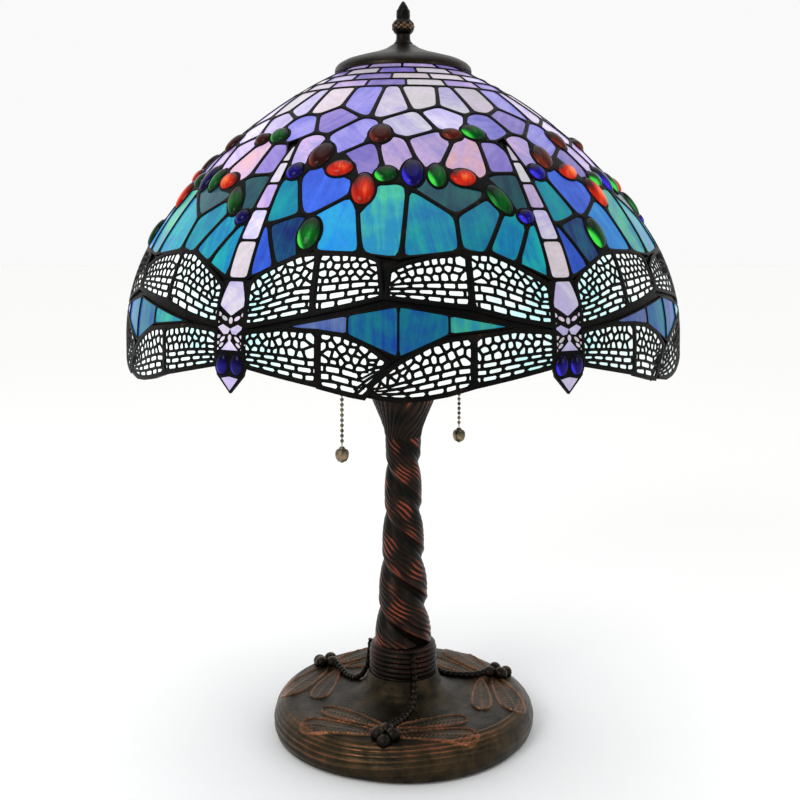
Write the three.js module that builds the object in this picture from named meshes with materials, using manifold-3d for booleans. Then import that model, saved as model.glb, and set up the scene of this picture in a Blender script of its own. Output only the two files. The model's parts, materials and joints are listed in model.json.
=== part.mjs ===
// A table lamp with a leaded-glass dragonfly shade on a twisted, cast-metal column.
// Millimetres, +Z up, the origin on the table under the middle of the base, the front towards -Y.
// The base stands on felt and holds an iron weight. A threaded pipe clamps base, column and crown
// together and carries a cluster of two pull-chain sockets. A riser rod goes on up to the shade's
// seat, and a screwed finial holds the cap and the shade down on it.
import * as THREE from "three";
import { mergeVertices } from "three/addons/utils/BufferGeometryUtils.js";
import Module from "manifold-3d";

const wasm = await Module();
wasm.setup();

// Driving dimensions.
const GAP = 0.3; // between pieces that touch
const ROUND = 30; // facets around a large turned piece
const SMALL_ROUND = 14; // facets around a small one

// The base, from the table up.
const FELT_R = 104;
const FELT_TOP = 2;
const HUB_TOP = 47.6;
const PIPE_R = 4.9;
const PIPE_BORE_R = 3.6;
const PIPE_HOLE_R = 5.4;
const BUSHING_Z = 10;

// The column.
const COLLAR_TOP = 73.5;
const STEM_TOP = 251;
const STEM_FOOT_R = 25;
const STEM_NECK_R = 15.5;
const STRANDS = 2;
const STRAND_LEAD = 83; // height of one full turn
const CROWN_TOP = 292;

// The socket cluster.
const CLUSTER_Z = 313;
const CLUSTER_R = 18;
const CLUSTER_TURN = THREE.MathUtils.degToRad(41.5); // from +X, seen from above
const SOCKET_RISE = THREE.MathUtils.degToRad(25); // above the horizon
const SHELL_R = 17;
const SHELL_START = 36; // along a socket's own axis, from the cluster's middle
const SHELL_END = 72;
const CAP_SHELL_START = 26;
const CHAIN_R = 66; // distance of a chain from the lamp's axis
const NOZZLE_MOUTH = 313.5;
const BELL_MIDDLE = 243.5;
const BELL_R = 5.75;
const BELL_H = 13.6;
const BEAD_R = 1.6;
const BEAD_PITCH = 4.25;

// The shade's outer surface: an arc down the dome, a tighter one round the hip, then straight down.
const DOME = { r: -100, z: 233, radius: 360 };
const SHADE_R = 229;
const HIP_RADIUS = 150;
const GLASS = 3.2; // wall thickness of glass and lead together
const APERTURE_R = 48;
const RING_R = 46.2; // brass ring soldered into the aperture
const RING_BORE_R = 44;
const RING_H = 4;
const BRICKS_END_R = 92.5;
const TAIL_R = 128; // where a dragonfly's tail begins
const SECTORS = 6;
const HALF_SECTOR = 30; // degrees
const SHADE_JOINT = 0.4; // between two panels of the shade
const RIM_LOW = 315.5; // where two wing tips meet
const RIM_HIGH = 335; // beside a dragonfly's head
const HEAD_TIP = 319.5;
const WING_TOP_OUTER = 411;
const WING_TOP_INNER = 388;

// The top hardware.
const STUD_R = 3.1;
const CAP_RIM_R = 57.6;
const CAP_RIM_Z = 558.8;
const CAP_HUB_Z = 582.5;
const LAMP_TOP = 619;

const COLOURS = {
  bronze: 0x3a261c,
  bronze_hardware: 0x2a211a,
  aged_brass: 0x6e5f42,
  steel: 0x9a9a98,
  iron: 0x35353a,
  felt: 0x1c2a22,
  black_plastic: 0x141414,
  porcelain: 0xe6e1d6,
  bulb_glass: 0xfff1d8,
  dome_glass: 0x4f6fd0,
  brick_glass: 0xc9b4ea,
  wing_glass: 0xdff4ef,
  body_glass: 0xcdb9e6,
};
const METALS = ["bronze", "bronze_hardware", "aged_brass", "steel", "iron"];

function finish(name) {
  return new THREE.MeshStandardMaterial({
    color: COLOURS[name],
    metalness: METALS.includes(name) ? 0.85 : 0,
    roughness: METALS.includes(name) ? 0.45 : 0.3,
  });
}

function piece(name, geometry, material, parent) {
  const mesh = new THREE.Mesh(geometry, finish(material));
  mesh.name = name;
  parent.add(mesh);
  return mesh;
}

// Shared vertices merged, so that only a closed surface of positions is left.
function closed(geometry) {
  geometry.deleteAttribute("normal");
  geometry.deleteAttribute("uv");
  return mergeVertices(geometry, 1e-4);
}

// A profile of [radius, height] pairs turned about Z. It starts and ends on the axis, or closes on itself.
function turned(profile, facets = ROUND) {
  const onAxis = profile[0][0] === 0;
  const loop = onAxis ? profile : [...profile, profile[0]];
  const area = loop.reduce((sum, [r, z], i) => {
    const [r2, z2] = loop[(i + 1) % loop.length];
    return sum + r * z2 - r2 * z;
  }, 0);
  const points = (area > 0 ? loop : [...loop].reverse()).map(([r, z]) => new THREE.Vector2(r, z));
  return closed(new THREE.LatheGeometry(points, facets).rotateX(Math.PI / 2));
}

// A tube or washer between two radii and two heights.
function tube(inner, outer, low, high, facets = SMALL_ROUND) {
  return turned([[inner, low], [outer, low], [outer, high], [inner, high]], facets);
}

function disc(radius, low, high, facets = SMALL_ROUND) {
  return turned([[0, low], [radius, low], [radius, high], [0, high]], facets);
}

// A hexagonal nut for the threaded pipe or the riser, across its corners.
function pipeNut(corners, low, high) {
  return cut(disc(corners, low, high, 6), disc(PIPE_R + GAP, low - 1, high + 1));
}

function toSolid(geometry) {
  return new wasm.Manifold(
    new wasm.Mesh({
      numProp: 3,
      vertProperties: geometry.attributes.position.array,
      triVerts: new Uint32Array(geometry.index.array),
    }),
  );
}

// The first geometry with the others cut away.
function cut(geometry, ...tools) {
  const left = tools.reduce((solid, tool) => solid.subtract(toSolid(tool)), toSolid(geometry)).getMesh();
  return new THREE.BufferGeometry()
    .setAttribute("position", new THREE.BufferAttribute(left.vertProperties, 3))
    .setIndex(new THREE.BufferAttribute(left.triVerts, 1));
}

// ---------------------------------------------------------------- base and column

function buildBase(lamp) {
  piece("felt_pad", disc(FELT_R, 0, FELT_TOP, ROUND), "felt", lamp);

  // Hollow casting: rolled edge, slightly dished top and a raised hub for the column.
  const outside = [[110.5, 2.4], [113, 8], [112.8, 16], [109.5, 24], [102, 29], [78, 28],
    [55, 28.5], [38, 32.5], [31, 42], [30, HUB_TOP]];
  const inside = [[PIPE_HOLE_R, HUB_TOP], [PIPE_HOLE_R, 40], [21, 40], [30, 25], [96, 24.5],
    [107, 12], [106.5, 2.4]];
  const bushingHole = disc(5.4, -12, 12).rotateX(-Math.PI / 2).translate(0, 110, BUSHING_Z);
  piece("base_casting", cut(turned([...outside, ...inside]), bushingHole), "bronze", lamp);
  piece("base_weight", tube(30, 96, 4, 15, ROUND), "iron", lamp);
  piece("base_washer", tube(PIPE_HOLE_R, 12, 37.9, 39.6), "steel", lamp);
  piece("base_nut", pipeNut(10.4, 31, 37.6), "steel", lamp);

  // Snap-in bushing for the supply cord, in the base's back edge.
  const bushing = turned([[3.2, 0], [5, 0], [5, 9.3], [7, 9.3], [7, 11], [3.2, 11]], SMALL_ROUND);
  piece("cord_bushing", bushing.rotateX(-Math.PI / 2).translate(0, 104, BUSHING_Z), "black_plastic", lamp);
}

// Radius of the column's envelope at a height: thick at the foot, slim at the neck.
function stemRadius(z) {
  const up = (z - COLLAR_TOP) / (STEM_TOP - COLLAR_TOP);
  return STEM_FOOT_R + (STEM_NECK_R - STEM_FOOT_R) * Math.sin((up * Math.PI) / 2);
}

function buildColumn(lamp) {
  piece("foot_collar", turned([[PIPE_HOLE_R, 48], [28.6, 48], [29.4, 52], [29, 60], [29.2, 68],
    [27.6, COLLAR_TOP], [PIPE_HOLE_R, COLLAR_TOP]], 24), "bronze", lamp);

  // Two strands wound round each other, left-handed, with a deep groove between them.
  const low = COLLAR_TOP + GAP;
  const high = STEM_TOP - GAP;
  const steps = 22;
  const wall = Array.from({ length: steps + 1 }, (_, i) => [1, low + ((high - low) * i) / steps]);
  const stem = turned([[PIPE_HOLE_R, low], ...wall, [PIPE_HOLE_R, high]].map(([r, z]) =>
    [r === 1 ? stemRadius(z) : r, z]), 24);
  const point = new THREE.Vector3();
  const places = stem.attributes.position;
  for (let i = 0; i < places.count; i++) {
    point.fromBufferAttribute(places, i);
    if (Math.hypot(point.x, point.y) < PIPE_HOLE_R + 1) continue;
    const turn = Math.atan2(point.y, point.x) + (2 * Math.PI * point.z) / STRAND_LEAD;
    const lobe = 0.8 + 0.2 * Math.pow(Math.abs(Math.cos((STRANDS * turn) / 2)), 0.6);
    places.setXYZ(i, point.x * lobe, point.y * lobe, point.z);
  }
  piece("twisted_stem", stem, "bronze", lamp);

  piece("column_crown", turned([[PIPE_HOLE_R, STEM_TOP], [14.4, STEM_TOP], [17.5, 260], [22, 270],
    [26.5, 281], [29, CROWN_TOP - 3], [28.5, CROWN_TOP], [PIPE_HOLE_R, CROWN_TOP]], 24), "bronze", lamp);
  piece("threaded_pipe", tube(PIPE_BORE_R, PIPE_R, 27, 312), "steel", lamp);
}

// ---------------------------------------------------------------- sockets, bulbs and pull chains

// Turns a geometry made about +Z so that it points along a socket's axis from the cluster's middle.
function alongSocket(geometry, turn) {
  return geometry
    .rotateY(Math.PI / 2 - SOCKET_RISE)
    .rotateZ(turn)
    .translate(0, 0, CLUSTER_Z);
}

function buildSocket(lamp, side, turn) {
  const along = (name, geometry, material) => piece(name, alongSocket(geometry, turn), material, lamp);
  along(`socket_nipple_${side}`, tube(3.4, PIPE_R, 13.5, 30), "steel");
  along(`socket_cap_${side}`, turned([[PIPE_R + GAP, CAP_SHELL_START], [8, CAP_SHELL_START], [14.5, 29],
    [SHELL_R, SHELL_START - GAP], [SHELL_R - 1.2, SHELL_START - GAP], [13.4, 30.4], [PIPE_R + GAP, 28]],
    SMALL_ROUND), "aged_brass");
  along(`socket_shell_${side}`, tube(SHELL_R - 1.2, SHELL_R, SHELL_START, SHELL_END), "aged_brass");
  along(`socket_insulator_${side}`, turned([[0, 37], [15.4, 37], [15.4, 70], [13.9, 70], [13.9, 42],
    [0, 42]], SMALL_ROUND), "porcelain");
  along(`bulb_cap_${side}`, turned([[0, 43], [5, 43], [9.5, 46], [13.2, 48.5], [13.2, 69.6],
    [0, 69.6]], SMALL_ROUND), "steel");
  along(`bulb_glass_${side}`, turned([[0, 70], [13.6, 70], [15.5, 80], [22, 94], [28.4, 106], [30, 117],
    [27.5, 130], [20, 140.5], [10.5, 146.6], [0, 148.6]], 14), "bulb_glass");

  // The chain's guide points straight down and meets the shell from below.
  const x = CHAIN_R * Math.cos(turn);
  const y = CHAIN_R * Math.sin(turn);
  const clearShell = alongSocket(disc(SHELL_R + GAP, SHELL_START - 12, SHELL_END + 20), turn);
  const guide = turned([[2.6, NOZZLE_MOUTH], [4.6, NOZZLE_MOUTH], [3.9, NOZZLE_MOUTH + 2.2], [3.9, 335],
    [2.6, 335]], SMALL_ROUND);
  piece(`chain_guide_${side}`, cut(guide.translate(x, y, 0), clearShell), "aged_brass", lamp);

  // First link, which the switch pulls back up, then the hanging chain with its bell.
  const link = disc(1.3, NOZZLE_MOUTH - 1, NOZZLE_MOUTH + 8, 8);
  piece(`pull_link_${side}`, link.translate(x, y, 0), "aged_brass", lamp);
  const chainTop = NOZZLE_MOUTH - 1 - GAP;
  const bellTop = BELL_MIDDLE + BELL_H / 2;
  const beads = Math.floor((chainTop - bellTop - GAP) / BEAD_PITCH);
  const chain = [[0, chainTop]];
  for (let i = 0; i < beads; i++) {
    const middle = chainTop - (i + 0.5) * BEAD_PITCH;
    chain.push([0.6, middle + BEAD_R], [BEAD_R, middle], [0.6, middle - BEAD_R]);
  }
  chain.push([0.6, bellTop + GAP], [0, bellTop + GAP]);
  piece(`bead_chain_${side}`, turned(chain, 6).translate(x, y, 0), "aged_brass", lamp);
  const bell = [[0, bellTop], [1.6, bellTop], [2, bellTop - 1.2], [4.6, bellTop - 2.8],
    [BELL_R, BELL_MIDDLE + 0.8], [5.4, BELL_MIDDLE - 2.6], [3.6, BELL_MIDDLE - 5.4],
    [1.4, BELL_MIDDLE - 6.5], [0, BELL_MIDDLE - BELL_H / 2]];
  piece(`chain_bell_${side}`, turned(bell, 12).translate(x, y, 0), "aged_brass", lamp);
}

function buildCluster(lamp) {
  const turns = { a: CLUSTER_TURN + Math.PI, b: CLUSTER_TURN };
  piece("crown_lock_nut", pipeNut(9, 292.3, 295.7), "steel", lamp);
  const hub = turned([[PIPE_HOLE_R, 296], [14, 296], [CLUSTER_R, 300], [CLUSTER_R, 326],
    [PIPE_HOLE_R, 326]], 24);
  const ports = Object.values(turns).map((turn) => alongSocket(disc(PIPE_R + GAP, 13.2, 40), turn));
  piece("cluster_body", cut(hub, ...ports), "bronze_hardware", lamp);
  piece("cluster_cover", turned([[PIPE_R + GAP, 326.3], [16, 326.3], [14.5, 330], [8, 334],
    [PIPE_R + GAP, 334]], 24), "bronze_hardware", lamp);
  piece("riser_rod", turned([[0, 314], [PIPE_R, 314], [PIPE_R, 571], [STUD_R, 572], [STUD_R, 600],
    [0, 600]], 12), "steel", lamp);
  for (const [side, turn] of Object.entries(turns)) buildSocket(lamp, side, turn);
}

// ---------------------------------------------------------------- shade

const HIP_SIN = (SHADE_R - HIP_RADIUS - DOME.r) / (DOME.radius - HIP_RADIUS);
const HIP_ANGLE = Math.asin(HIP_SIN);
const APERTURE_ANGLE = Math.asin((APERTURE_R - DOME.r) / DOME.radius);
const DOME_LENGTH = DOME.radius * (HIP_ANGLE - APERTURE_ANGLE);
const HIP_LENGTH = HIP_RADIUS * (Math.PI / 2 - HIP_ANGLE);
const HIP_CENTRE_Z = DOME.z + (DOME.radius - HIP_RADIUS) * Math.cos(HIP_ANGLE);

// The wall at a distance down its outer surface from the aperture, and a depth under that surface.
function wallAt(down, depth) {
  if (down < DOME_LENGTH) {
    const angle = APERTURE_ANGLE + down / DOME.radius;
    const radius = DOME.radius - depth;
    return { r: DOME.r + radius * Math.sin(angle), z: DOME.z + radius * Math.cos(angle) };
  }
  const angle = Math.min(HIP_ANGLE + (down - DOME_LENGTH) / HIP_RADIUS, Math.PI / 2);
  const radius = HIP_RADIUS - depth;
  const straight = Math.max(down - DOME_LENGTH - HIP_LENGTH, 0);
  return {
    r: SHADE_R - HIP_RADIUS + radius * Math.sin(angle),
    z: HIP_CENTRE_Z + radius * Math.cos(angle) - straight,
  };
}

// The inverses: how far down the wall a radius on the dome, or a height, lies.
const downToRadius = (r) => DOME.radius * (Math.asin((r - DOME.r) / DOME.radius) - APERTURE_ANGLE);
function downToHeight(z) {
  const domeAngle = Math.acos(Math.min((z - DOME.z) / DOME.radius, 1));
  if (domeAngle < HIP_ANGLE) return DOME.radius * (domeAngle - APERTURE_ANGLE);
  const hipAngle = Math.acos(Math.max((z - HIP_CENTRE_Z) / HIP_RADIUS, 0));
  return DOME_LENGTH + HIP_RADIUS * (hipAngle - HIP_ANGLE) + Math.max(HIP_CENTRE_Z - z, 0);
}

// Edges of the wings at an angle from the line where two wing tips meet.
function wingTop(angle) {
  const inward = THREE.MathUtils.smoothstep(Math.abs(angle), 13, 28);
  return WING_TOP_OUTER + (WING_TOP_INNER - WING_TOP_OUTER) * inward;
}
function wingRim(angle) {
  const along = Math.min(Math.abs(angle) / 27, 1);
  return RIM_LOW + (RIM_HIGH - RIM_LOW) * 0.5 * (1 - Math.cos(Math.PI * along));
}

// Half the width of a dragonfly's body, from the tail's point down to the tip of its head.
const BODY_WIDTHS = [[0, 0.2], [34, 1.4], [52, 4.2], [73, 5.8], [96, 7.2], [122, 8.8], [150, 9.2],
  [160, 10], [180, 12], [209, 12.4], [219, 8], [227, 0.4]];
const TAIL_DOWN = downToRadius(TAIL_R);
function bodyHalfWidth(down) {
  const along = down - TAIL_DOWN;
  const next = BODY_WIDTHS.findIndex(([d]) => d > along);
  if (next < 1) return next === 0 ? 0 : BODY_WIDTHS.at(-1)[1];
  const [d1, w1] = BODY_WIDTHS[next - 1];
  const [d2, w2] = BODY_WIDTHS[next];
  return w1 + ((w2 - w1) * (along - d1)) / (d2 - d1);
}
const bodyDegrees = (down) => THREE.MathUtils.radToDeg(bodyHalfWidth(down) / wallAt(down, 0).r);

// A box bent onto the wall. rows gives, for a share across from 0 to 1, how far down each row lies;
// edge gives the angle of the left and right side at a distance down.
function bentPanel(columns, rowCount, rows, edge) {
  const box = closed(new THREE.BoxGeometry(1, 1, 1, columns, rowCount - 1, 1));
  const places = box.attributes.position;
  for (let i = 0; i < places.count; i++) {
    const across = places.getX(i) + 0.5;
    const row = Math.round((0.5 - places.getY(i)) * (rowCount - 1));
    const down = rows(across)[row];
    const { r, z } = wallAt(down, places.getZ(i) > 0 ? 0 : GLASS);
    const [left, right] = edge(down);
    const angle = THREE.MathUtils.degToRad(left + (right - left) * across);
    places.setXYZ(i, r * Math.sin(angle), -r * Math.cos(angle), z);
  }
  return box;
}

function between(from, to, parts) {
  return Array.from({ length: parts + 1 }, (_, i) => from + ((to - from) * i) / parts);
}

const PANEL_COLUMNS = 8;
const DOME_ROWS = 7;
const WING_ROWS = 3;
const BODY_TOP = downToRadius(BRICKS_END_R) + SHADE_JOINT;

// Rows of the dome above the wings, then of the wings, on the line of a dragonfly's body.
const bodyWingTop = downToHeight(WING_TOP_INNER);
const bodyRim = downToHeight(RIM_HIGH);

function buildShade(lamp) {
  const shade = new THREE.Group();
  lamp.add(shade);
  const ringTop = wallAt(0, 0).z;
  const ring = tube(RING_BORE_R, RING_R, ringTop - RING_H, ringTop + 0.6, ROUND);
  piece("aperture_ring", ring, "aged_brass", shade);

  const bricks = between(0, downToRadius(BRICKS_END_R), 3);
  const outer = bricks.map((d) => wallAt(d, 0));
  const inner = [...bricks].reverse().map((d) => wallAt(d, GLASS));
  const brickBand = turned([...outer, ...inner].map(({ r, z }) => [r, z]), PANEL_COLUMNS * SECTORS);
  piece("brick_glass_band", brickBand, "brick_glass", shade);

  for (let sector = 0; sector < SECTORS; sector++) {
    const turn = THREE.MathUtils.degToRad((360 / SECTORS) * sector);
    const number = sector + 1;
    const sideJoint = (down) => HALF_SECTOR - bodyDegrees(down)
      - THREE.MathUtils.radToDeg(SHADE_JOINT / 2 / wallAt(down, 0).r);
    const sides = (down) => [-sideJoint(down), sideJoint(down)];
    const angleAt = (across) => (across * 2 - 1) * HALF_SECTOR;

    const domeRows = (across) => {
      const bottom = downToHeight(wingTop(angleAt(across))) - SHADE_JOINT;
      return [BODY_TOP, ...between(TAIL_DOWN, bottom, DOME_ROWS - 1)];
    };
    const domePanel = bentPanel(PANEL_COLUMNS, DOME_ROWS + 1, domeRows, sides);
    piece(`dome_glass_panel_${number}`, domePanel.rotateZ(turn), "dome_glass", shade);

    const wingRows = (across) => between(downToHeight(wingTop(angleAt(across))),
      downToHeight(wingRim(angleAt(across))), WING_ROWS);
    const wingPanel = bentPanel(PANEL_COLUMNS, WING_ROWS + 1, wingRows, sides);
    piece(`wing_glass_panel_${number}`, wingPanel.rotateZ(turn), "wing_glass", shade);

    const bodyTurn = turn + THREE.MathUtils.degToRad(HALF_SECTOR);
    const tailRows = between(TAIL_DOWN, bodyWingTop, DOME_ROWS - 1);
    const chestRows = between(bodyWingTop, bodyRim, WING_ROWS).slice(1);
    const bodyRows = [...tailRows, ...chestRows, downToHeight(HEAD_TIP + 8), downToHeight(HEAD_TIP)];
    const bodySides = (down) => {
      const half = bodyDegrees(down) - THREE.MathUtils.radToDeg(SHADE_JOINT / 2 / wallAt(down, 0).r);
      return [-Math.max(half, 0.02), Math.max(half, 0.02)];
    };
    const body = bentPanel(2, bodyRows.length, () => bodyRows, bodySides);
    piece(`dragonfly_body_${number}`, body.rotateZ(bodyTurn), "body_glass", shade);
  }
}

// ---------------------------------------------------------------- seat, cap and finial

function buildTop(lamp) {
  piece("seat_lock_nut", pipeNut(9.5, 537, 542.5), "steel", lamp);
  piece("shade_seat", turned([[PIPE_R + GAP, 542.8], [18, 542.8], [42, 549.4], [53.5, 550.4], [53.5, 552],
    [41, 551.2], [18, 545], [PIPE_R + GAP, 545]], 24), "bronze_hardware", lamp);
  piece("vase_cap", turned([[CAP_RIM_R, CAP_RIM_Z], [CAP_RIM_R, 562], [52, 567], [30, 574.2], [11, 581.4],
    [8, CAP_HUB_Z], [STUD_R + GAP, CAP_HUB_Z], [STUD_R + GAP, 580.5], [10, 579.4], [30, 572],
    [51, 565], [56, 561.4], [56, CAP_RIM_Z]]), "bronze_hardware", lamp);
  const hub = CAP_HUB_Z + GAP;
  const finial = [[STUD_R + GAP, hub], [8.4, hub], [6, hub + 2], [5.8, 591], [7.4, 593], [9.3, 596],
    [9.3, 599], [7.4, 602], [5.8, 603.6], [5.9, 609], [4.6, 613], [2, 617.4], [0, LAMP_TOP],
    [0, 601], [STUD_R + GAP, 601]];
  // The blind bore ends on the axis, so the profile starts there too.
  piece("finial", turned([...finial.slice(-2), ...finial.slice(0, -2)], 14), "bronze_hardware", lamp);
}

const lamp = new THREE.Group();
buildBase(lamp);
buildColumn(lamp);
buildCluster(lamp);
buildShade(lamp);
buildTop(lamp);
export default lamp;
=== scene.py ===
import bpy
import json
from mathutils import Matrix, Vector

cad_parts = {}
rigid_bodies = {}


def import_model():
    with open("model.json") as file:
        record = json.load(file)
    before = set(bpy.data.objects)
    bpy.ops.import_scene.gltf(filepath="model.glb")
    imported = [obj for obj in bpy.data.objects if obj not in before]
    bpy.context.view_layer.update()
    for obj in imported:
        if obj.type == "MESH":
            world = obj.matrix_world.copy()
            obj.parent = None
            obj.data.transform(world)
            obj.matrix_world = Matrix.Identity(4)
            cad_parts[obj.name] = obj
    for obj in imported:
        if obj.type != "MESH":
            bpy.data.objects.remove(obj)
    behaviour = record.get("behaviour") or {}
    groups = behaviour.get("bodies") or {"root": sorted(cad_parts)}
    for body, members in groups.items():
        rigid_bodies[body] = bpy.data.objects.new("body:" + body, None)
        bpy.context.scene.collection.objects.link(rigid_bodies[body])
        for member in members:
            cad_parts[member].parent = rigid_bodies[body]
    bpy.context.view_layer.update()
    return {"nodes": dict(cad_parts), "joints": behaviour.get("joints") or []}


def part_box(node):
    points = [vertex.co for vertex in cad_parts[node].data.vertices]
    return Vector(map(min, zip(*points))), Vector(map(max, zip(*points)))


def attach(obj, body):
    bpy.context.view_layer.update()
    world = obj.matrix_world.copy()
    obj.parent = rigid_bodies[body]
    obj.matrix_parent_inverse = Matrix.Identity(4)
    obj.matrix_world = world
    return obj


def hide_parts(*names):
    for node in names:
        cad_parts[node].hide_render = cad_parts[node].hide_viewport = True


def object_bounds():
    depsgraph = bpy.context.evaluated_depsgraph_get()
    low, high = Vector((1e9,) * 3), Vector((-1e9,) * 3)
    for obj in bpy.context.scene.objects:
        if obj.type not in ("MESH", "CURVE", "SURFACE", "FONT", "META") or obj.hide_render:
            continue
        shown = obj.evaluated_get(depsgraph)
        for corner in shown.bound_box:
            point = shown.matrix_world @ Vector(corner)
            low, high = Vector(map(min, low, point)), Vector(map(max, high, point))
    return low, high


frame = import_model()

# %% [markdown]
# # A leaded-glass dragonfly lamp
#
# The lamp is a dome of coloured glass, held in soldered lead, on a cast bronze column. The packed
# model gives the sizes and the moving bodies. This script gives the looks: every glass tile, every
# line of lead, the cords of the column and the relief on the base are surfaces worked out with numpy.
#
# All lengths below are millimetres. They become metres when a mesh is made.

# %% Tools
import json
import math

import bpy
import numpy as np

METRE = 0.001
RNG = np.random.default_rng(18)

# %% [markdown]
# ## Meshes from arrays
#
# One function puts whole arrays of points and faces into a mesh, lets it ride on a body and names
# its finish. A face list is an array with three or four columns. The signed volume tells if a closed
# surface is inside out, and then every face is turned round.

# %% Skin
ATTRIBUTE_KINDS = {1: ("FLOAT", "value"), 3: ("FLOAT_VECTOR", "vector"), 4: ("FLOAT_COLOR", "color")}


def show(name, data):
    """Puts a mesh, a light or a camera into the scene."""
    thing = bpy.data.objects.new(name, data)
    bpy.context.scene.collection.objects.link(thing)
    return thing


def signed_volume(points, faces):
    """Volume inside a closed surface: a sixth of the sum, over its triangles, of a · (b × c)."""
    total = 0.0
    for block in faces:
        for k in range(1, block.shape[1] - 1):
            a, b, c = points[block[:, 0]], points[block[:, k]], points[block[:, k + 1]]
            total += np.einsum("ij,ij->i", a, np.cross(b, c)).sum() / 6
    return total


def skin(name, points, faces, body, slot, finish, stands_for=(), values=None, sharp=40):
    """Makes the piece: its mesh, shading, attributes, finish, body and the nodes it stands for. The slot is
    not used.
    """
    points = np.asarray(points, float).reshape(-1, 3)
    faces = [np.asarray(block, int) for block in faces]
    if signed_volume(points, faces) < 0:
        faces = [block[:, ::-1] for block in faces]
    sizes = np.concatenate([np.full(len(block), block.shape[1]) for block in faces])
    mesh = bpy.data.meshes.new(name)
    mesh.vertices.add(len(points))
    mesh.vertices.foreach_set("co", (points * METRE).ravel())
    mesh.loops.add(int(sizes.sum()))
    mesh.loops.foreach_set("vertex_index", np.concatenate([block.ravel() for block in faces]))
    mesh.polygons.add(len(sizes))
    mesh.polygons.foreach_set("loop_start", np.concatenate([[0], np.cumsum(sizes)[:-1]]))
    mesh.update(calc_edges=True)
    mesh.shade_smooth()
    mesh.set_sharp_from_angle(angle=math.radians(sharp))
    for key, value in (values or {}).items():
        kind, field = ATTRIBUTE_KINDS[1 if value.ndim == 1 else value.shape[1]]
        mesh.attributes.new(key, kind, "POINT").data.foreach_set(field, value.ravel())
    mesh.materials.append(finish)
    piece = show(name, mesh)
    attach(piece, body)
    if stands_for:
        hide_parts(*stands_for)


def grid_faces(rows, columns, close_rows=False):
    """Quads over a grid of points whose columns close on themselves, and whose rows may."""
    i, j = np.meshgrid(np.arange(rows if close_rows else rows - 1), np.arange(columns), indexing="ij")
    row, below, beside = i * columns, (i + 1) % rows * columns, (j + 1) % columns
    return np.stack([row + j, row + beside, below + beside, below + j], -1).reshape(-1, 4)


def ring_grid(rings, closed):
    """Points and faces of a tube of rings. An open tube gets a point in the middle of each end."""
    rows, columns = rings.shape[:2]
    points = rings.reshape(-1, 3)
    quads = grid_faces(rows, columns, close_rows=closed)
    if closed:
        return points, [quads]
    j = np.arange(columns)
    after = (j + 1) % columns
    first = np.full(columns, rows * columns)
    last_row = (rows - 1) * columns
    ends = np.stack([rings[0].mean(0), rings[-1].mean(0)])
    low = np.stack([after, j, first], -1)
    high = np.stack([j + last_row, after + last_row, first + 1], -1)
    return np.concatenate([points, ends]), [quads, low, high]


# %% [markdown]
# ## Finishes
#
# A finish is a small tree of shader nodes. The helper adds a node, fills its sockets from a
# dictionary and returns it, so a tree reads from its texture to its surface. Colours are linear.

# %% Finish helpers


def add(tree, kind, sockets=None, **settings):
    """Adds a shader node. A socket's value is a number, a colour or another node's output."""
    node = tree.nodes.new("ShaderNode" + kind)
    for key, value in settings.items():
        setattr(node, key, value)
    for key, value in (sockets or {}).items():
        if isinstance(value, bpy.types.NodeSocket):
            tree.links.new(value, node.inputs[key])
        else:
            node.inputs[key].default_value = value
    return node


def colour_ramp(tree, factor, *stops):
    """A ramp of (place, colour) stops. The stops run from low to high."""
    ramp = add(tree, "ValToRGB", {"Fac": factor})
    elements = ramp.color_ramp.elements
    while len(elements) < len(stops):
        elements.new(1)
    for element, (place, colour) in zip(elements, stops):
        element.position = place
        element.color = (*colour, 1)
    return ramp.outputs["Color"]


def new_finish(name, **sockets):
    """An empty finish with one principled shader, and that shader's plain values."""
    finish = bpy.data.materials.new(name)
    finish.use_nodes = True
    tree = finish.node_tree
    shader = tree.nodes["Principled BSDF"]
    for key, value in sockets.items():
        shader.inputs[key.replace("_", " ")].default_value = value
    return finish, tree, shader


def noise(tree, vector, scale, detail=4.0, rough=0.5):
    sockets = {"Vector": vector, "Scale": scale, "Detail": detail, "Roughness": rough}
    return add(tree, "TexNoise", sockets).outputs["Fac"]


def attribute(tree, name, output="Fac"):
    """A value that the points of the mesh carry."""
    return add(tree, "Attribute", attribute_name=name).outputs[output]


def lamp_place(tree):
    """The place on the lamp, in metres."""
    return add(tree, "TexCoord").outputs["Object"]


def maths(tree, operation, *numbers, clamp=False):
    """The result of an operation on two or three numbers or outputs."""
    return add(tree, "Math", dict(enumerate(numbers)), operation=operation, use_clamp=clamp).outputs[0]


def vector_maths(tree, operation, first, second):
    """The number that two vectors give, such as their distance."""
    return add(tree, "VectorMath", {0: first, 1: second}, operation=operation).outputs["Value"]


def stretched(tree, vector, scale):
    return add(tree, "Mapping", {"Vector": vector, "Scale": scale}).outputs["Vector"]


def scaled(tree, colour, share):
    return add(tree, "VectorMath", {0: colour, "Scale": share}, operation="SCALE").outputs[0]


def remap(tree, value, start, end, low=0.0, high=1.0, kind="LINEAR"):
    """Takes the range from start to end onto the range from low to high."""
    sockets = {"Value": value, "From Min": start, "From Max": end, "To Min": low, "To Max": high}
    return add(tree, "MapRange", sockets, interpolation_type=kind).outputs["Result"]


def bump(tree, shader, height, strength, distance):
    """Turns a height into small dents: distance is the depth in metres that a height of one stands for."""
    dents = add(tree, "Bump", {"Height": height, "Strength": strength, "Distance": distance})
    tree.links.new(dents.outputs["Normal"], shader.inputs["Normal"])


def surface(tree, shader, colour, rough):
    tree.links.new(colour, shader.inputs["Base Color"])
    tree.links.new(rough, shader.inputs["Roughness"])


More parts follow.
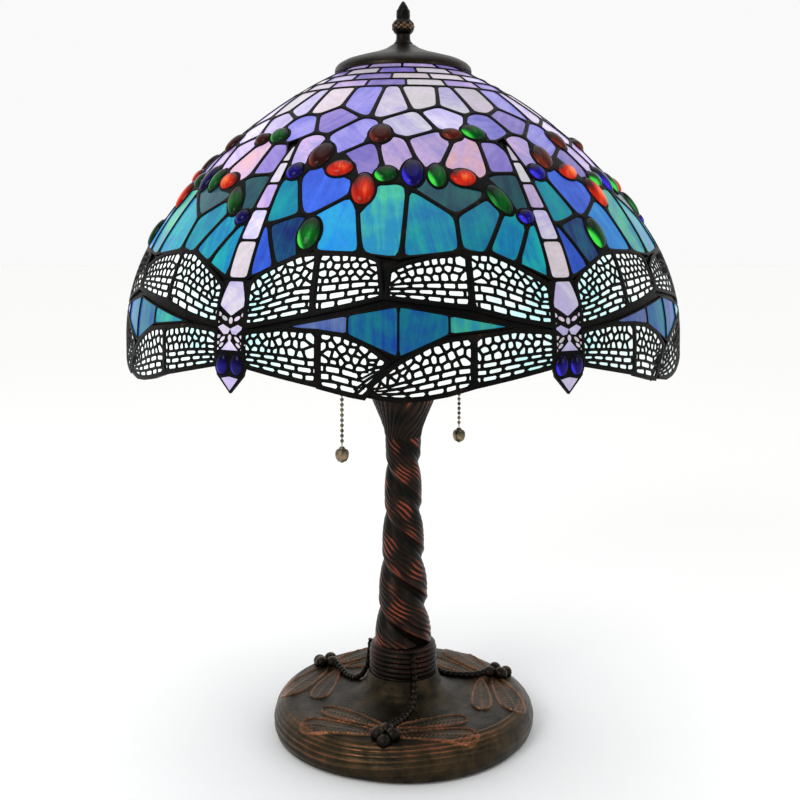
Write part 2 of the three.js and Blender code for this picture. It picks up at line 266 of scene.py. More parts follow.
def shine(tree, shader, lit, colour, share):
    """Gives a surface its own light, and a dim share of its colour to reflect."""
    tree.links.new(lit, shader.inputs["Emission Color"])
    shader.inputs["Emission Strength"].default_value = 1.0
    tree.links.new(scaled(tree, colour, share), shader.inputs["Base Color"])


# %% [markdown]
# The bulbs sit on a diagonal, so the glass near them glows more than the glass between them. Light
# falls off with the square of the distance. Each glass finish multiplies its colour by the sum of
# both bulbs' shares, so the glow is part of the surface and looks the same from every side.

# %% Glow of the two bulbs
BULBS = [(np.array(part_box(f"bulb_glass_{side}")).mean(0)).tolist() for side in "ab"]
GLOW_REACH = 0.150  # metres at which one bulb gives the glass its full share
print("bulbs at", np.round(BULBS, 3).tolist())


def glow(tree, base, share):
    """base + share × Σ reach² / distance², from the place on the lamp."""
    place = lamp_place(tree)
    total = base
    for bulb in BULBS:
        square = maths(tree, "POWER", vector_maths(tree, "DISTANCE", place, bulb), 2.0)
        total = maths(tree, "ADD", maths(tree, "DIVIDE", share * GLOW_REACH**2, square), total)
    return total


# %% [markdown]
# Streaky art glass is two colours of glass rolled out together. Each tile carries its two colours and
# a `flow` attribute: its own flat coordinates, turned at random, so no two tiles are cut from the same
# stretch of sheet. A noise that is stretched along the flow mixes the colours.

# %% Streaky glass


def streaky_glass():
    finish, tree, shader = new_finish("streaky_glass", Roughness=0.2, Specular_IOR_Level=0.14)
    flow = attribute(tree, "flow", "Vector")
    long_flow = stretched(tree, flow, (16, 170, 1))
    wisps = noise(tree, long_flow, 1.0, 5.0, 0.62)
    clouds = noise(tree, flow, 45.0, 3.0)
    share = remap(tree, maths(tree, "ADD", wisps, clouds), 0.84, 1.16)
    mix = add(tree, "Mix", {"Factor": share}, data_type="RGBA")
    for socket, name in ((6, "first_colour"), (7, "second_colour")):
        tree.links.new(attribute(tree, name, "Color"), mix.inputs[socket])
    colour = mix.outputs[2]
    mottle = remap(tree, noise(tree, flow, 260.0, 2.0), 0.3, 0.7, 0.9, 1.06)
    strength = maths(tree, "MULTIPLY", glow(tree, 0.40, 0.50), mottle)
    shine(tree, shader, scaled(tree, colour, strength), colour, 0.12)
    bump(tree, shader, noise(tree, long_flow, 0.8, 3.0), 0.35, 0.0006)
    return finish


STREAKY_GLASS = streaky_glass()

# %% [markdown]
# The wings are one sheet of white glass under a net of brass filigree. The sheet shades from white at
# the wing tips to a watery green-blue near the body, so its colour follows the angle to the body, which
# each point carries as `wing`.

# %% Wing glass


def wing_glass():
    finish, tree, shader = new_finish("wing_glass", Roughness=0.25, Specular_IOR_Level=0.12)
    clouds = noise(tree, lamp_place(tree), 60.0, 4.0)
    shift = remap(tree, clouds, 0.3, 0.7, -0.35, 0.35)
    water = maths(tree, "ADD", attribute(tree, "wing"), shift, clamp=True)
    colour = colour_ramp(tree, water, (0.0, (0.88, 0.96, 0.93)), (0.5, (0.74, 0.94, 0.91)),
                         (1.0, (0.42, 0.84, 0.82)))
    shine(tree, shader, scaled(tree, colour, glow(tree, 0.8, 0.3)), colour, 0.15)
    bump(tree, shader, clouds, 0.3, 0.0005)
    return finish


WING_GLASS = wing_glass()

# %% [markdown]
# A pressed jewel is clear, strongly coloured glass. It is dark where it is thick and the lamp's light
# misses it, and bright where a facet on its back catches a bulb. The `flow` attribute holds the place
# within the jewel, from -1 to 1 both ways. A radial streak pattern on it stands for the pressed back.

# %% Jewels


def jewel_glass(name, dark, full, bright, core_share, edge_share):
    """core_share is how far the light fills the middle, edge_share how bright the edge catches it."""
    finish, tree, shader = new_finish(name, Roughness=0.05, Specular_IOR_Level=0.1)
    flow = attribute(tree, "flow", "Vector")
    split = add(tree, "SeparateXYZ", {"Vector": flow}).outputs
    flat = add(tree, "CombineXYZ", {"X": split["X"], "Y": split["Y"]}).outputs[0]
    number = add(tree, "CombineXYZ", {"Z": split["Z"]}).outputs[0]
    streaks = noise(tree, stretched(tree, flow, (3.2, 0.7, 31.0)), 1.6, 3.0)
    core = remap(tree, vector_maths(tree, "DISTANCE", flat, (0.12, -0.25, 0)), 0.95, 0.05)
    wander = remap(tree, noise(tree, number, 7.0, 0.0), 0.35, 0.65, 0.45, 1.75)
    middle = maths(tree, "MULTIPLY", maths(tree, "MULTIPLY", core, streaks), wander, clamp=True)
    toward = vector_maths(tree, "DOT_PRODUCT", flow, (-0.8, -0.5, 0))
    edge = remap(tree, toward, 0.42, 0.85, 0.0, edge_share, "SMOOTHSTEP")
    light = maths(tree, "MULTIPLY_ADD", middle, core_share, edge, clamp=True)
    colour = colour_ramp(tree, light, (0.0, dark), (0.35, full), (0.85, bright))
    shine(tree, shader, colour, colour, 0.06)
    return finish


JEWEL_FINISH = {
    colour: jewel_glass(f"{colour}_jewel", *looks) for colour, looks in {
        "red": ((0.03, 0.002, 0.001), (0.62, 0.02, 0.006), (1.0, 0.24, 0.05), 1.1, 0.25),
        "amber": ((0.008, 0.002, 0.0015), (0.10, 0.012, 0.006), (0.5, 0.08, 0.03), 0.5, 0.4),
        "green": ((0.001, 0.008, 0.003), (0.003, 0.13, 0.015), (0.05, 0.75, 0.06), 0.5, 0.85),
        "blue": ((0.001, 0.0005, 0.012), (0.008, 0.004, 0.22), (0.05, 0.04, 0.85), 0.55, 0.7),
    }.items()
}

# %% [markdown]
# Lead and solder go black with patina, and brown where the solder lies thick. Bronze is darkest in its
# hollows, a greenish black, and rubbed to copper red on its ridges. Each cast piece carries `wear`,
# from 0 in a hollow to 1 on a ridge, worked out together with its shape. On the stem, the wear on the
# lip of each strand is also a painted highlight.

# %% Metal finishes


def lead_finish():
    finish, tree, shader = new_finish("patinated_lead", Metallic=0.1, Specular_IOR_Level=0.06)
    place = lamp_place(tree)
    fine = noise(tree, place, 900.0, 3.0)
    colour = colour_ramp(tree, noise(tree, place, 70.0, 5.0, 0.7), (0.5, (0.0016, 0.0014, 0.0013)),
                         (0.66, (0.007, 0.005, 0.0035)), (0.82, (0.12, 0.07, 0.035)))
    surface(tree, shader, colour, remap(tree, fine, 0, 1, 0.3, 0.6))
    bump(tree, shader, fine, 0.4, 0.0004)
    return finish


def bronze_finish(name, hollow, body, ridge, grain):
    """Cast bronze in three tones: in the hollows, on the body and rubbed on the ridges."""
    finish, tree, shader = new_finish(name, Metallic=0.88)
    place = lamp_place(tree)
    uneven = remap(tree, noise(tree, place, 55.0, 6.0, 0.65), 0.3, 0.7, -0.22, 0.22)
    level = maths(tree, "ADD", attribute(tree, "wear"), uneven, clamp=True)
    colour = colour_ramp(tree, level, (0.0, hollow), (0.42, body), (0.95, ridge))
    surface(tree, shader, colour, remap(tree, level, 0, 1, 0.45, 0.24))
    bump(tree, shader, noise(tree, place, 700.0, 3.0), grain, 0.0004)
    return finish


def two_tones(tree, light, dark, scale):
    """Patches of noise by the place on the lamp: the place, the patches and their colour."""
    place = lamp_place(tree)
    patches = noise(tree, place, scale, 5.0, 0.6)
    return place, patches, colour_ramp(tree, patches, (0.35, dark), (0.65, light))


def metal(name, light, dark, rough, scale):
    """A worn plain metal: two tones by noise, with a brushed or cast grain."""
    finish, tree, shader = new_finish(name, Metallic=1.0)
    place, patches, colour = two_tones(tree, light, dark, scale)
    surface(tree, shader, colour, remap(tree, patches, 0, 1, rough + 0.12, rough - 0.08))
    bump(tree, shader, noise(tree, place, scale * 12, 3.0), 0.25, 0.0002)
    return finish


def plain(name, light, dark, rough, scale, dents):
    """A finish that isn't metal: two near tones by noise, and dents of a chosen depth in metres."""
    finish, tree, shader = new_finish(name, Roughness=rough)
    place, _, colour = two_tones(tree, light, dark, scale)
    tree.links.new(colour, shader.inputs["Base Color"])
    bump(tree, shader, noise(tree, place, scale * 6, 4.0), 0.4, dents)
    return finish


def bulb_finish():
    finish, tree, shader = new_finish("lit_frosted_bulb", Base_Color=(0.95, 0.9, 0.8, 1), Roughness=0.35,
                                       Emission_Strength=3.0)
    place = lamp_place(tree)
    frost = colour_ramp(tree, noise(tree, place, 40.0, 3.0), (0.3, (1.0, 0.84, 0.6)),
                        (0.7, (1.0, 0.92, 0.78)))
    tree.links.new(frost, shader.inputs["Emission Color"])
    bump(tree, shader, noise(tree, place, 1500.0), 0.2, 0.0001)
    return finish


LEAD = lead_finish()
BRONZE = bronze_finish("antiqued_bronze", (0.004, 0.0045, 0.003), (0.026, 0.012, 0.008),
                       (0.30, 0.062, 0.03), 0.35)
BASE_BRONZE = bronze_finish("base_bronze", (0.006, 0.006, 0.004), (0.060, 0.038, 0.016),
                            (0.30, 0.10, 0.045), 0.8)
CAP_BRONZE = bronze_finish("cap_bronze", (0.003, 0.003, 0.002), (0.016, 0.011, 0.007),
                           (0.16, 0.10, 0.055), 0.2)
AGED_BRASS = metal("aged_brass", (0.27, 0.21, 0.13), (0.05, 0.04, 0.025), 0.3, 160)
DARK_METAL = metal("dark_hardware", (0.07, 0.05, 0.035), (0.02, 0.016, 0.012), 0.36, 90)
STEEL = metal("zinc_steel", (0.62, 0.61, 0.58), (0.4, 0.39, 0.37), 0.3, 120)
IRON = metal("raw_iron", (0.14, 0.13, 0.12), (0.05, 0.05, 0.05), 0.6, 60)
FELT = plain("green_felt", (0.03, 0.05, 0.038), (0.012, 0.022, 0.016), 0.95, 900, 0.0006)
BLACK_PLASTIC = plain("black_plastic", (0.02, 0.02, 0.02), (0.012, 0.012, 0.012), 0.35, 300, 0.00005)
PORCELAIN = plain("porcelain", (0.78, 0.75, 0.68), (0.7, 0.67, 0.6), 0.15, 90, 0.00005)
LIT_BULB = bulb_finish()
print("finishes:", len(bpy.data.materials))

# %% [markdown]
# ## The shade's wall
#
# The wall is one long arc, a short arc round the hip and a straight skirt, turned about the lamp's
# axis. The pattern is drawn on a flat chart of that wall. Across is the angle from the line where two
# wing tips meet, in radians. Up is minus the sum of d(down) / radius, from the opening at the top, which
# is how a sailor's chart is made: angles are true everywhere, and a millimetre on the chart is
# 1 / radius. So round stays round, and a lead has one width on the whole dome.

# %% Wall and chart
SHADE_R = 229.0
DOME_MIDDLE_R, DOME_MIDDLE_Z, DOME_RADIUS = -100.0, 233.0, 360.0
HIP_RADIUS = 150.0
APERTURE_R = 48.0
RIM_TIP, RIM_HEAD = 315.5, 335.0  # heights of the rim: at the wing tips and beside a dragonfly's head
SECTORS = 6
HALF_SECTOR = math.radians(30)

hip_angle = math.asin((SHADE_R - HIP_RADIUS - DOME_MIDDLE_R) / (DOME_RADIUS - HIP_RADIUS))
aperture_angle = math.asin((APERTURE_R - DOME_MIDDLE_R) / DOME_RADIUS)
dome_length = DOME_RADIUS * (hip_angle - aperture_angle)
hip_length = HIP_RADIUS * (math.pi / 2 - hip_angle)
hip_middle_z = DOME_MIDDLE_Z + (DOME_RADIUS - HIP_RADIUS) * math.cos(hip_angle)

DOWN = np.linspace(0, 345, 6901)
TILT = np.where(DOWN < dome_length, aperture_angle + DOWN / DOME_RADIUS,
                np.minimum(hip_angle + (DOWN - dome_length) / HIP_RADIUS, math.pi / 2))
WALL_R = np.where(DOWN < dome_length, DOME_MIDDLE_R + DOME_RADIUS * np.sin(TILT),
                  SHADE_R - HIP_RADIUS + HIP_RADIUS * np.sin(TILT))
WALL_Z = np.where(DOWN < dome_length, DOME_MIDDLE_Z + DOME_RADIUS * np.cos(TILT),
                  hip_middle_z + HIP_RADIUS * np.cos(TILT) - np.maximum(DOWN - dome_length - hip_length, 0))
CHART = -np.concatenate([[0], np.cumsum(np.diff(DOWN) * 2 / (WALL_R[1:] + WALL_R[:-1]))])


def chart_at_down(down):
    return np.interp(down, DOWN, CHART)


def chart_at_height(z):
    return np.interp(-np.asarray(z, float), -WALL_Z, CHART)


def radius_at(chart):
    return np.interp(-chart, -CHART, WALL_R)


def on_wall(across, chart, proud):
    """Place in space of a point on the chart, lifted from the wall by proud millimetres."""
    tilt = np.interp(-chart, -CHART, TILT)
    r = radius_at(chart) + proud * np.sin(tilt)
    z = np.interp(-chart, -CHART, WALL_Z) + proud * np.cos(tilt)
    return np.stack([r * np.sin(across), -r * np.cos(across), z], -1)


rim_down = DOWN[np.searchsorted(-WALL_Z, -RIM_TIP)]
print(f"wall: {rim_down:.0f} mm from opening to rim, chart {-CHART.min():.2f} high")

# %% [markdown]
# ## Cells
#
# A tile of glass is cut to fit between its neighbours, so its edges lie about half way to each of them.
# The line between two sites is where both are equally far. A cell is then a list of lines, each with a
# normal n and an offset c, and holds the points where n · x ≤ c for all of them.
#
# The glass's own outline runs inside the cell. On a ray from the middle, the distance to its edge is a
# smooth minimum of the distances to every line moved in by half a lead, (Σ (n · d / c)^p)^(-1/p). A
# small p gives the round, pebble-like shapes of cut glass, and a large p gives sharp corners. A jewel
# takes a bite out of the pieces round it, so the distance to its oval joins the same sum.

# %% Cells on the chart
NEIGHBOURS = 14


def lines_between(site, others):
    """The lines half way between a site and those nearest to it: normals of length one, and offsets."""
    near = others[np.argsort(np.linalg.norm(others - site, axis=1))[:NEIGHBOURS]]
    away = near - site
    normals = away / np.linalg.norm(away, axis=1)[:, None]
    return normals, np.einsum("ij,ij->i", normals, (site + near) / 2)


def lines_of(polygon):
    """The lines along the sides of a convex polygon whose corners run anticlockwise."""
    corners = np.asarray(polygon, float)
    side = np.roll(corners, -1, axis=0) - corners
    normals = np.stack([side[:, 1], -side[:, 0]], -1) / np.linalg.norm(side, axis=1)[:, None]
    return normals, np.einsum("ij,ij->i", normals, corners)


def corners_of(normals, offsets):
    """Corners of a cell: the crossings of two of its lines that no third line cuts off, in order."""
    i, j = np.triu_indices(len(offsets), 1)
    cross = normals[i, 0] * normals[j, 1] - normals[i, 1] * normals[j, 0]
    real = np.abs(cross) > 1e-9
    i, j, cross = i[real], j[real], cross[real]
    x = (offsets[i] * normals[j, 1] - offsets[j] * normals[i, 1]) / cross
    y = (normals[i, 0] * offsets[j] - normals[j, 0] * offsets[i]) / cross
    points = np.stack([x, y], -1)
    points = points[(points @ normals.T <= offsets + 1e-7).all(1)]
    if len(points) < 3:
        return None
    middle = points.mean(0)
    points = points[np.argsort(np.arctan2(points[:, 1] - middle[1], points[:, 0] - middle[0]))]
    apart = np.linalg.norm(points - np.roll(points, 1, axis=0), axis=1) > 1e-5
    return points[apart] if apart.sum() >= 3 else None


def cell_loops(normals, offsets, inset, steps, power, ovals=()):
    """A cell's middle, its own edge and the glass's edge, as two loops of points on the same rays.
    steps are the places of the rays along a side. Each of the ovals, (x, y, half width, half height,
    turn), takes a bite out of the glass: on a ray that meets it, the glass ends where the ray enters."""
    corners = corners_of(normals, offsets)
    if corners is None:
        return None
    middle = corners.mean(0)
    following = np.roll(corners, -1, axis=0)
    edge = (corners[:, None] + (following - corners)[:, None] * steps[None, :, None]).reshape(-1, 2)
    ray = edge - middle
    reach = np.linalg.norm(ray, axis=1)
    ray = ray / reach[:, None]
    clear = offsets - normals @ middle
    clear = np.maximum(clear - inset, 0.3 * clear)
    inverse = (np.maximum(ray @ normals.T / clear, 0) ** power).sum(1)
    for x, y, wide, tall, turn in ovals:
        frame_of_oval = np.array([[math.cos(turn) / wide, math.sin(turn) / wide],
                                  [-math.sin(turn) / tall, math.cos(turn) / tall]])
        start, heading = frame_of_oval @ (middle - [x, y]), ray @ frame_of_oval.T
        a, b, c = (heading**2).sum(1), heading @ start, start @ start - 1
        meets = (b**2 > a * c) & (b < 0) & (c > 0)
        entry = (-b - np.sqrt(np.maximum(b**2 - a * c, 0))) / a
        inverse += np.where(meets, np.maximum(entry, 1e-4) ** -float(power), 0)
    inner = np.minimum(inverse ** (-1 / power), reach * 0.97)
    return middle, edge, middle + ray * inner[:, None]


# %% [markdown]
# Two solids come from those loops. A came is a closed ring whose section is carried round the cell:
# half of a rounded lead on top, a straight side against the glass and a flat back. Next to its
# neighbour's ring it makes a whole lead. A tile is a flat prism that tucks in under the lead.

# %% Cames and tiles
GLASS_FRONT, GLASS_BACK = -0.9, -3.0
TUCK = 0.3  # share of the lead's width that glass reaches under it
CAME = [(-0.04, 0.0), (0.4, -0.04), (0.75, -0.22), (1.0, -0.8), (1.0, -2.75), (0.6, -3.1), (-0.04, -3.2)]
THIN_CAME = [(-0.5, -0.45), (0.1, -0.15), (1.0, -0.6), (1.0, -1.3), (-0.5, -1.3)]


class Batch:
    """Collects many small closed solids, so that they become one piece."""

    def __init__(self):
        self.points, self.faces, self.values, self.count = [], {3: [], 4: []}, {}, 0

    def add(self, points, faces, **values):
        for block in faces:
            self.faces[block.shape[1]].append(block + self.count)
        self.points.append(points)
        self.count += len(points)
        for key, value in values.items():
            self.values.setdefault(key, []).append(value)

    def arrays(self):
        faces = [np.concatenate(blocks) for blocks in self.faces.values() if blocks]
        values = {key: np.concatenate(value) for key, value in self.values.items()}
        return np.concatenate(self.points), faces, values

    def piece(self, name, body, slot, finish, stands_for=(), sharp=30, turn=0.0):
        """Makes one piece of all the solids, turned about the lamp's axis."""
        points, faces, values = self.arrays()
        skin(name, turned_about(points, turn), faces, body, slot, finish, stands_for, values, sharp)

    def leads(self, name, turn=0.0):
        self.piece(name, "shade", "lead_came", LEAD, sharp=50, turn=turn)


def came_ring(edge, inner, section):
    """A section of (share of the way from the cell's edge to the glass, height) carried round a cell."""
    share = np.array([s for s, _ in section])[:, None, None]
    proud = np.array([p for _, p in section])[:, None]
    flat = edge[None] + (inner - edge)[None] * share
    rings = on_wall(flat[..., 0], flat[..., 1], proud)
    return rings.reshape(-1, 3), [grid_faces(len(section), len(edge), close_rows=True)]


def tile(middle, loop, rings, front, back):
    """A prism over a loop. rings are shares of the way out at which it follows the wall, the last one 1.
    front and back are its heights at each ring, and the first entry is the height in the middle."""
    count = len(loop)
    shares = np.array(rings)[:, None, None]
    flat = middle + (loop - middle)[None] * shares
    top = on_wall(flat[..., 0], flat[..., 1], np.array(front[1:])[:, None])
    low = on_wall(flat[..., 0], flat[..., 1], np.array(back[1:])[:, None])[::-1]
    ends = on_wall(np.full(2, middle[0]), np.full(2, middle[1]), np.array([front[0], back[0]]))
    body = np.concatenate([top, low])
    j = np.arange(count)
    after = (j + 1) % count
    rows = len(body)
    first, last = np.full(count, rows * count), np.full(count, rows * count + 1)
    fan_front = np.stack([first, j, after], -1)
    fan_back = np.stack([last, after + (rows - 1) * count, j + (rows - 1) * count], -1)
    quads = grid_faces(rows, count)[:, ::-1]
    chart = np.concatenate([flat.reshape(-1, 2), flat[::-1].reshape(-1, 2), [middle, middle]])
    return np.concatenate([body.reshape(-1, 3), ends]), [quads, fan_front, fan_back], chart


def flat_tile(middle, edge, inner):
    """A flat tile whose edge lies some way under the lead, between the glass's edge and the cell's."""
    return tile(middle, inner + (edge - inner) * TUCK, [1.0], [GLASS_FRONT] * 2, [GLASS_BACK] * 2)


def turned_about(points, turn):
    """Points turned about the lamp's axis. A positive turn takes the front towards +X."""
    c, s = math.cos(turn), math.sin(turn)
    return points @ np.array([[c, s, 0], [-s, c, 0], [0, 0, 1]])


# %% [markdown]
# ## The glass of the dome
#
# The pattern comes six times round the shade. Each entry is one piece of glass in a sixth: its angle
# from the meeting line in degrees, its distance down the wall from the opening in millimetres, and the
# sheet it is cut from. The jewels lie where pieces meet, and bite into them.

# %% Sheets of glass
SHEETS = {
    "pearl": ((0.66, 0.60, 0.76), (0.48, 0.43, 0.72)),
    "cream": ((0.58, 0.54, 0.58), (0.66, 0.57, 0.70)),
    "periwinkle": ((0.18, 0.17, 0.60), (0.30, 0.27, 0.70)),
    "lavender": ((0.28, 0.21, 0.56), (0.18, 0.14, 0.48)),
    "rose": ((0.56, 0.42, 0.68), (0.38, 0.30, 0.64)),
    "peach": ((0.52, 0.37, 0.64), (0.70, 0.42, 0.44)),
    "blue": ((0.02, 0.07, 0.50), (0.035, 0.12, 0.66)),
    "sky": ((0.012, 0.22, 0.70), (0.015, 0.32, 0.62)),
    "teal": ((0.003, 0.16, 0.30), (0.005, 0.25, 0.30)),
    "lagoon": ((0.004, 0.19, 0.40), (0.008, 0.34, 0.36)),
    "sea": ((0.01, 0.24, 0.42), (0.05, 0.46, 0.28)),
    "slate": ((0.01, 0.045, 0.075), (0.012, 0.09, 0.10)),
    "night": ((0.006, 0.02, 0.13), (0.006, 0.08, 0.17)),
    "deep": ((0.006, 0.055, 0.34), (0.006, 0.17, 0.26)),
    "haze": ((0.05, 0.09, 0.34), (0.11, 0.17, 0.36)),
}

# %% Pieces of a sixth
GLASS_PIECES = [
    (-14.3, 77, "periwinkle"), (-3.5, 79, "pearl"), (8.3, 74, "cream"), (19.7, 78, "pearl"),
    (30.5, 76, "cream"),
    (-22, 99, "lavender"), (-13.5, 121, "periwinkle"), (3.5, 108, "pearl"), (13.6, 97, "pearl"),
    (27.5, 108, "periwinkle"),
    (-26.4, 134, "rose"), (-8.2, 142, "lavender"), (-1.8, 138, "rose"), (7.4, 131, "rose"),
    (17, 144, "peach"),
    (25.7, 145, "lavender"),
    (-25.8, 184, "teal"), (-17.6, 175, "blue"), (-11.8, 203, "sky"), (-4, 199, "sea"), (6.2, 202, "lagoon"),
    (11.8, 179, "slate"), (16.2, 202, "teal"), (26, 172, "slate"), (21.6, 213, "lagoon"),
    (26.2, 222, "lagoon"),
    (-22.1, 216, "night"), (-27, 224, "blue"),
]
JEWELS = [  # angle, down, half width, half height, turn, colour
    (-5.6, 118, 8.2, 10.3, 0, "amber"), (14.6, 119, 7.5, 6, -8, "amber"), (21.3, 116, 9.5, 7.5, -35, "green"),
    (-20.2, 140, 8.5, 12.5, -14, "amber"), (-25.4, 156, 6.8, 7.4, 0, "blue"), (-14.1, 154, 10, 7.5, 8, "red"),
    (-7.8, 173, 8.3, 14, 2, "red"), (-3.1, 160, 8, 7.4, 0, "green"), (3, 158.5, 7.8, 12.8, 0, "blue"),
    (8.5, 161, 6.6, 10.8, 2, "green"), (14.4, 163, 9.4, 7.8, -8, "red"), (21.3, 182, 6.6, 14, 24, "green"),
    (26.1, 197, 6, 6.2, 0, "blue"), (-17.2, 210, 8, 13, -4, "green"),
]
JEWEL_SLOT = {"red": "jewel_red", "amber": "jewel_red", "green": "jewel_green", "blue": "jewel_blue"}
BEZEL = 1.2  # width of the lead round a jewel
BRICKS_END_R = 92.5
BRICKS_END = float(np.interp(BRICKS_END_R, WALL_R, DOWN))
print(len(GLASS_PIECES), "tiles and", len(JEWELS), "jewels in a sixth")

# %% [markdown]
# Some edges don't come from a neighbour: the ring above, the tops of the wings and the sides of a
# dragonfly's body. They are lines too, taken near each site. The body is narrow at the tail and widens
# downwards, so its side is the line through its edge a little above and below the site.

# %% Edges of the dome's glass
TAIL_TIP = 129.0
BODY_DOWN = [TAIL_TIP, 146, 167, 190, 216, 245]
BODY_HALF = [1.6, 4.0, 5.4, 6.8, 8.2, 8.6]
WING_TOP = (np.radians([0, 6, 12, 16, 20, 25, 27.5, 30]),
            chart_at_height([408, 411, 412.8, 412.5, 407.5, 398, 392.5, 390]))
ACROSS_WING = math.radians(3.4)  # half the width of wing edge that one piece of glass lies along


def body_side(down):
    """Angle between a dragonfly's middle and its side, at a distance down the wall."""
    return np.interp(down, BODY_DOWN, BODY_HALF) / np.interp(down, DOWN, WALL_R)


def line_through(a, b, keep):
    """The line through two points of the chart, with its normal away from the point to keep."""
    side = np.array(b, float) - a
    normal = np.array([side[1], -side[0]]) / np.linalg.norm(side)
    offset = normal @ np.array(a)
    return (normal, offset) if normal @ keep < offset else (-normal, -offset)


def fences(angle, down, site):
    """The lines round a site that no neighbour gives."""
    found = []
    if down < 85:
        found.append((np.array([0.0, 1.0]), float(chart_at_down(BRICKS_END))))
    if down > TAIL_TIP and abs(angle) > 15:
        low, high = max(down - 22, TAIL_TIP), down + 14
        sign = math.copysign(1, angle)
        ends = [(sign * (HALF_SECTOR - body_side(d)), float(chart_at_down(d))) for d in (low, high)]
        found.append(line_through(*ends, site))
    if down > 165:
        ends = [site[0] - ACROSS_WING, site[0] + ACROSS_WING]
        found.append(line_through(*[(a, float(np.interp(abs(a), *WING_TOP))) for a in ends], site))
    return found


# %% Cut the dome's glass
HALF_LEAD = 1.7
DOME_POWER = 11  # the p of the smooth minimum for the dome's glass
CORNER_STEPS = np.array([0.0, 0.1, 0.25, 0.4, 0.55, 0.7, 0.88])


def chart_point(angle, down):
    return math.radians(angle), float(chart_at_down(down))


def bites(grown):
    """The jewels' ovals on the chart, grown by some millimetres, in this sixth and the ones beside it."""
    ovals = []
    for angle, down, wide, tall, turn, _ in JEWELS:
        x, y = chart_point(angle, down)
        radius = float(radius_at(y))
        size = (wide + grown) / radius, (tall + grown) / radius, math.radians(turn)
        ovals += [(x + k * 2 * HALF_SECTOR, y, *size) for k in (-1, 0, 1)]
    return ovals


def dome_cells():
    """Radius and loops of every piece of glass in one sixth, from the cells round their sites."""
    sites = np.array([chart_point(a, d) for a, d, _ in GLASS_PIECES])
    radius = radius_at(sites[:, 1])
    period = np.array([2 * HALF_SECTOR, 0])
    around = np.concatenate([sites - period, sites, sites + period])
    ovals = bites(BEZEL + 0.2)
    cells = []
    for k, site in enumerate(sites):
        others = np.delete(around, k + len(sites), axis=0)
        normals, offsets = lines_between(site, others)
        extra = fences(*GLASS_PIECES[k][:2], site)
        normals = np.concatenate([normals] + [n[None] for n, _ in extra])
        offsets = np.concatenate([offsets, [c for _, c in extra]])
        loops = cell_loops(normals, offsets, HALF_LEAD / radius[k], CORNER_STEPS, DOME_POWER, ovals)
        cells.append((radius[k], loops))
    return cells


CELLS = dome_cells()
print("cells cut:", sum(loops is not None for _, loops in CELLS), "of", len(CELLS))

# %% [markdown]
# A tile's `flow` is its own place on the sheet: the chart's millimetres, turned and shifted at random.
# In the teal band the streaks run up and down, as they do on the lamp, and elsewhere they lie as they
# were cut. Each of the six copies gets its own stretch of sheet and a slightly different depth of
# colour.

# %% Colours of a tile


def tile_values(chart, middle, radius, sheet, upright):
    """Attributes of one tile: its flow coordinates in metres and its two colours."""
    turn = RNG.normal(math.pi / 2, 0.12) if upright else RNG.uniform(0, math.pi)
    flat = (chart - middle) * radius * METRE
    along = flat[:, 0] * math.cos(turn) + flat[:, 1] * math.sin(turn)
    aside = flat[:, 1] * math.cos(turn) - flat[:, 0] * math.sin(turn)
    shift = RNG.uniform(0, 5, 3)
    flow = np.stack([along, aside, np.zeros(len(flat))], -1) + shift
    depth = RNG.uniform(0.86, 1.12)
    values = {"flow": flow}
    for key, colour in zip(("first_colour", "second_colour"), SHEETS[sheet]):
        tint = np.clip(np.array(colour) * depth * RNG.uniform(0.95, 1.05, 3), 0, 1)
        values[key] = np.tile([*tint, 1.0], (len(flat), 1))
    return values


# %% [markdown]
# A jewel is a flattened dome: height = rise × sqrt(1 - share²) above its seat, where share runs from 0
# in the middle to 1 at the edge. A raised bezel of lead runs round it.

# %% Make the dome's glass, leads and jewels
JEWEL_RINGS = [0.3, 0.55, 0.76, 0.91, 1.0]
JEWEL_RISE = 4.0
JEWEL_SEAT = -0.5
BEZEL_SECTION = [(0.0, -0.7), (0.3, 0.1), (0.75, 0.2), (1.0, -0.2), (1.0, -2.9), (0.0, -2.9)]
STREAKS_UPRIGHT = 160  # from this far down the wall, the streaks run up and down


def jewel(middle, loop, rise):
    """The cabochon over a loop, with its points on the chart."""
    shares = np.array([0, *JEWEL_RINGS])
    front = JEWEL_SEAT + rise * np.sqrt(1 - shares**2)
    return tile(middle, loop, JEWEL_RINGS, front, [GLASS_BACK] * len(shares))


jewel_batches = {colour: Batch() for colour in JEWEL_FINISH}


def add_jewel(batch, leads, middle, loop, turn, rise=JEWEL_RISE):
    """A jewel and its bezel. The jewel's flow is its points' place in it, from -1 to 1, and a number."""
    points, faces, chart = jewel(middle, loop, rise)
    inside = (chart - middle) / np.abs(loop - middle).max(0)
    number = np.full((len(inside), 1), RNG.uniform(0, 50))
    batch.add(turned_about(points, turn), faces, flow=np.concatenate([inside, number], 1))
    outward = (loop - middle) / np.linalg.norm(loop - middle, axis=1)[:, None]
    bezel = loop + outward * (BEZEL + 0.5) / radius_at(middle[1])
    points, faces = came_ring(bezel, loop - outward * 0.15 / radius_at(middle[1]), BEZEL_SECTION)
    leads.add(turned_about(points, turn), faces)


def oval_loop(x, y, wide, tall, turn, count=24):
    """Points of an oval: its middle plus (wide × cos, tall × sin), turned."""
    a = np.arange(count) * 2 * math.pi / count
    c, s = math.cos(turn), math.sin(turn)
    px, py = wide * np.cos(a), tall * np.sin(a)
    return np.stack([x + px * c - py * s, y + px * s + py * c], -1)


